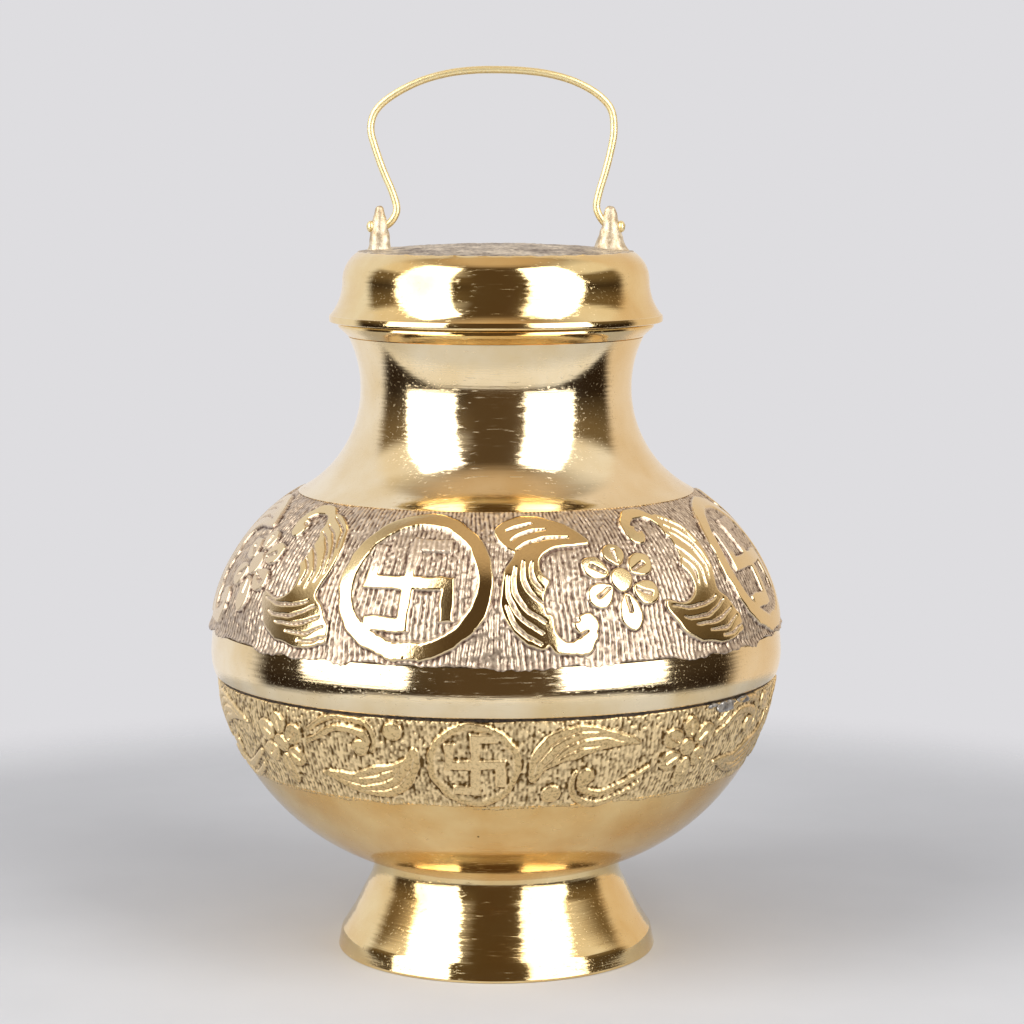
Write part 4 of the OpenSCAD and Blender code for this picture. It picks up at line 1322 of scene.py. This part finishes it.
def ear(name, node, outline, middle):
    """A cast lug on its CAD node's seat, drilled across."""
    low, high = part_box(node)
    print(node, "runs across from", round(low.x / MM, 1), "to", round(high.x / MM, 1), "mm")
    seat = high.z / MM - outline[-1][1]
    close = [(0, outline[0][1])] + outline
    lug = turned(name, [(r, z + seat) for r, z in smooth_section(close)], EAR_STEPS)
    bpy.ops.object.mode_set(mode="EDIT")
    bpy.ops.mesh.select_all(action="SELECT")
    bpy.ops.transform.resize(value=(1, EAR_PINCH, 1), center_override=(0, 0, 0))
    bpy.ops.transform.translate(value=(middle * MM, 0, 0))
    bpy.ops.object.mode_set(mode="OBJECT")
    worked(lug, "DISPLACE", texture=skin, texture_coords="LOCAL", strength=EAR_LUMP_MM * MM, mid_level=0.5)
    clear_selection()
    bpy.ops.mesh.primitive_cylinder_add(vertices=48, radius=HOLE_R * MM, depth=20 * MM,
                                        location=(middle * MM, 0, pivot * MM), rotation=(0, math.pi / 2, 0))
    drill = bpy.context.object
    make_active(lug)
    worked(lug, "BOOLEAN", object=drill, solver="EXACT")
    bpy.data.objects.remove(drill)
    bpy.ops.object.shade_smooth_by_angle(angle=CORNER_ANGLE)
    finished(lug, ear_brass, "lid", "cast_brass", node)


def smooth_section(points):
    """The outline of an ear as a smooth curve, with its flat underside kept."""
    curve = smooth_line(points[1:], per_span=4)
    return [points[0]] + [(max(float(r), 0), float(z)) for r, z in curve]


ear("ear_left_lug", "ear_left", EAR_SLIM, EAR_SLIM_X)
ear("ear_right_lug", "ear_right", EAR_BROAD, EAR_BROAD_X)

# %% [markdown]
# The handle is one length of brass wire bent by hand, so its two sides are not quite alike: a flat arch,
# round shoulders, two legs that lean in, and ends that slant out through the ears and were hammered
# over outside. A smooth path runs through points on the CAD model's wire, given as a place across and
# a height over the pivot. A curve with a round bevel gives it its thickness and then becomes a mesh.

# %% Handle
WIRE_R = 0.8
BEAD_X = 27.0
LEFT_SIDE = [(-BEAD_X, 0), (-24.8, 0), (-23.7, 0.2), (-22.4, 1.3), (-21.5, 3), (-21.5, 4.8), (-22.5, 7.9),
             (-24.3, 12.1), (-25.8, 16.4), (-26.8, 20), (-26.7, 22.6), (-25.7, 24.9), (-23.6, 27),
             (-20.2, 29.2), (-15.6, 31.3), (-10.2, 32.75), (-4.8, 33.4)]
RIGHT_SIDE = [(5.8, 33.3), (11, 32.65), (16.1, 31.3), (20.5, 29.2), (23.5, 26.8), (25, 24.4), (25.4, 21),
              (25, 17.6), (23.7, 12.2), (22.4, 7.9), (21.7, 4.8), (22, 3), (23, 1.3), (24.1, 0.3),
              (25.2, 0), (BEAD_X, 0)]
ARCH_TOP = [(0.5, 33.5)]
path = [(float(x), pivot + float(rise)) for x, rise in smooth_line(LEFT_SIDE + ARCH_TOP + RIGHT_SIDE)]
wire_curve = bpy.data.curves.new("bail_wire", "CURVE")
wire_curve.dimensions = "3D"
wire_curve.bevel_depth = WIRE_R * MM
wire_curve.bevel_resolution = 6
wire_curve.use_fill_caps = True
line = wire_curve.splines.new("POLY")
line.points.add(len(path) - 1)
for point, (x, z) in zip(line.points, path):
    point.co = (x * MM, 0, z * MM, 1)
wire = bpy.data.objects.new("bail_wire", wire_curve)
bpy.context.scene.collection.objects.link(wire)
make_active(wire)
bpy.ops.object.convert(target="MESH")
wire = bpy.context.object
bpy.ops.object.shade_smooth_by_angle(angle=CORNER_ANGLE)
finished(wire, wire_brass, "bail", "wire_brass", "bail")

# %% [markdown]
# Each end of the wire was peened: hammered into a low, slightly uneven head that can't slip back
# through the ear. A sphere is squashed along the wire and flattened on its outer face.

# %% Peened ends
BEAD_R = 1.3
BEAD_SQUASH = 0.72
BEAD_UNEVEN = (1.04, 0.97)
BEAD_FLAT_AT = 0.62
BEAD_FLAT_TILT = (0.12, -0.18)
BEAD_SOFT_MM = 0.18


def peened_end(name, side):
    """A hammered head on one end of the wire, side is 1 or -1."""
    clear_selection()
    bpy.ops.mesh.primitive_uv_sphere_add(segments=32, ring_count=20, radius=BEAD_R * MM)
    head = named(name)
    bpy.ops.object.mode_set(mode="EDIT")
    bpy.ops.mesh.select_all(action="SELECT")
    bpy.ops.transform.resize(value=(BEAD_SQUASH, *BEAD_UNEVEN), center_override=(0, 0, 0))
    bpy.ops.mesh.bisect(plane_co=(side * BEAD_FLAT_AT * BEAD_R * MM, 0, 0),
                        plane_no=(side, *BEAD_FLAT_TILT), use_fill=True, clear_outer=True)
    bpy.ops.mesh.select_all(action="SELECT")
    bpy.ops.transform.translate(value=(side * BEAD_X * MM, 0, pivot * MM))
    bpy.ops.object.mode_set(mode="OBJECT")
    worked(head, "BEVEL", width=BEAD_SOFT_MM * MM, segments=3, limit_method="ANGLE")
    bpy.ops.object.shade_smooth_by_angle(angle=CORNER_ANGLE)
    finished(head, wire_brass, "bail", "wire_brass", "bail")


peened_end("peened_end_left", -1)
peened_end("peened_end_right", 1)
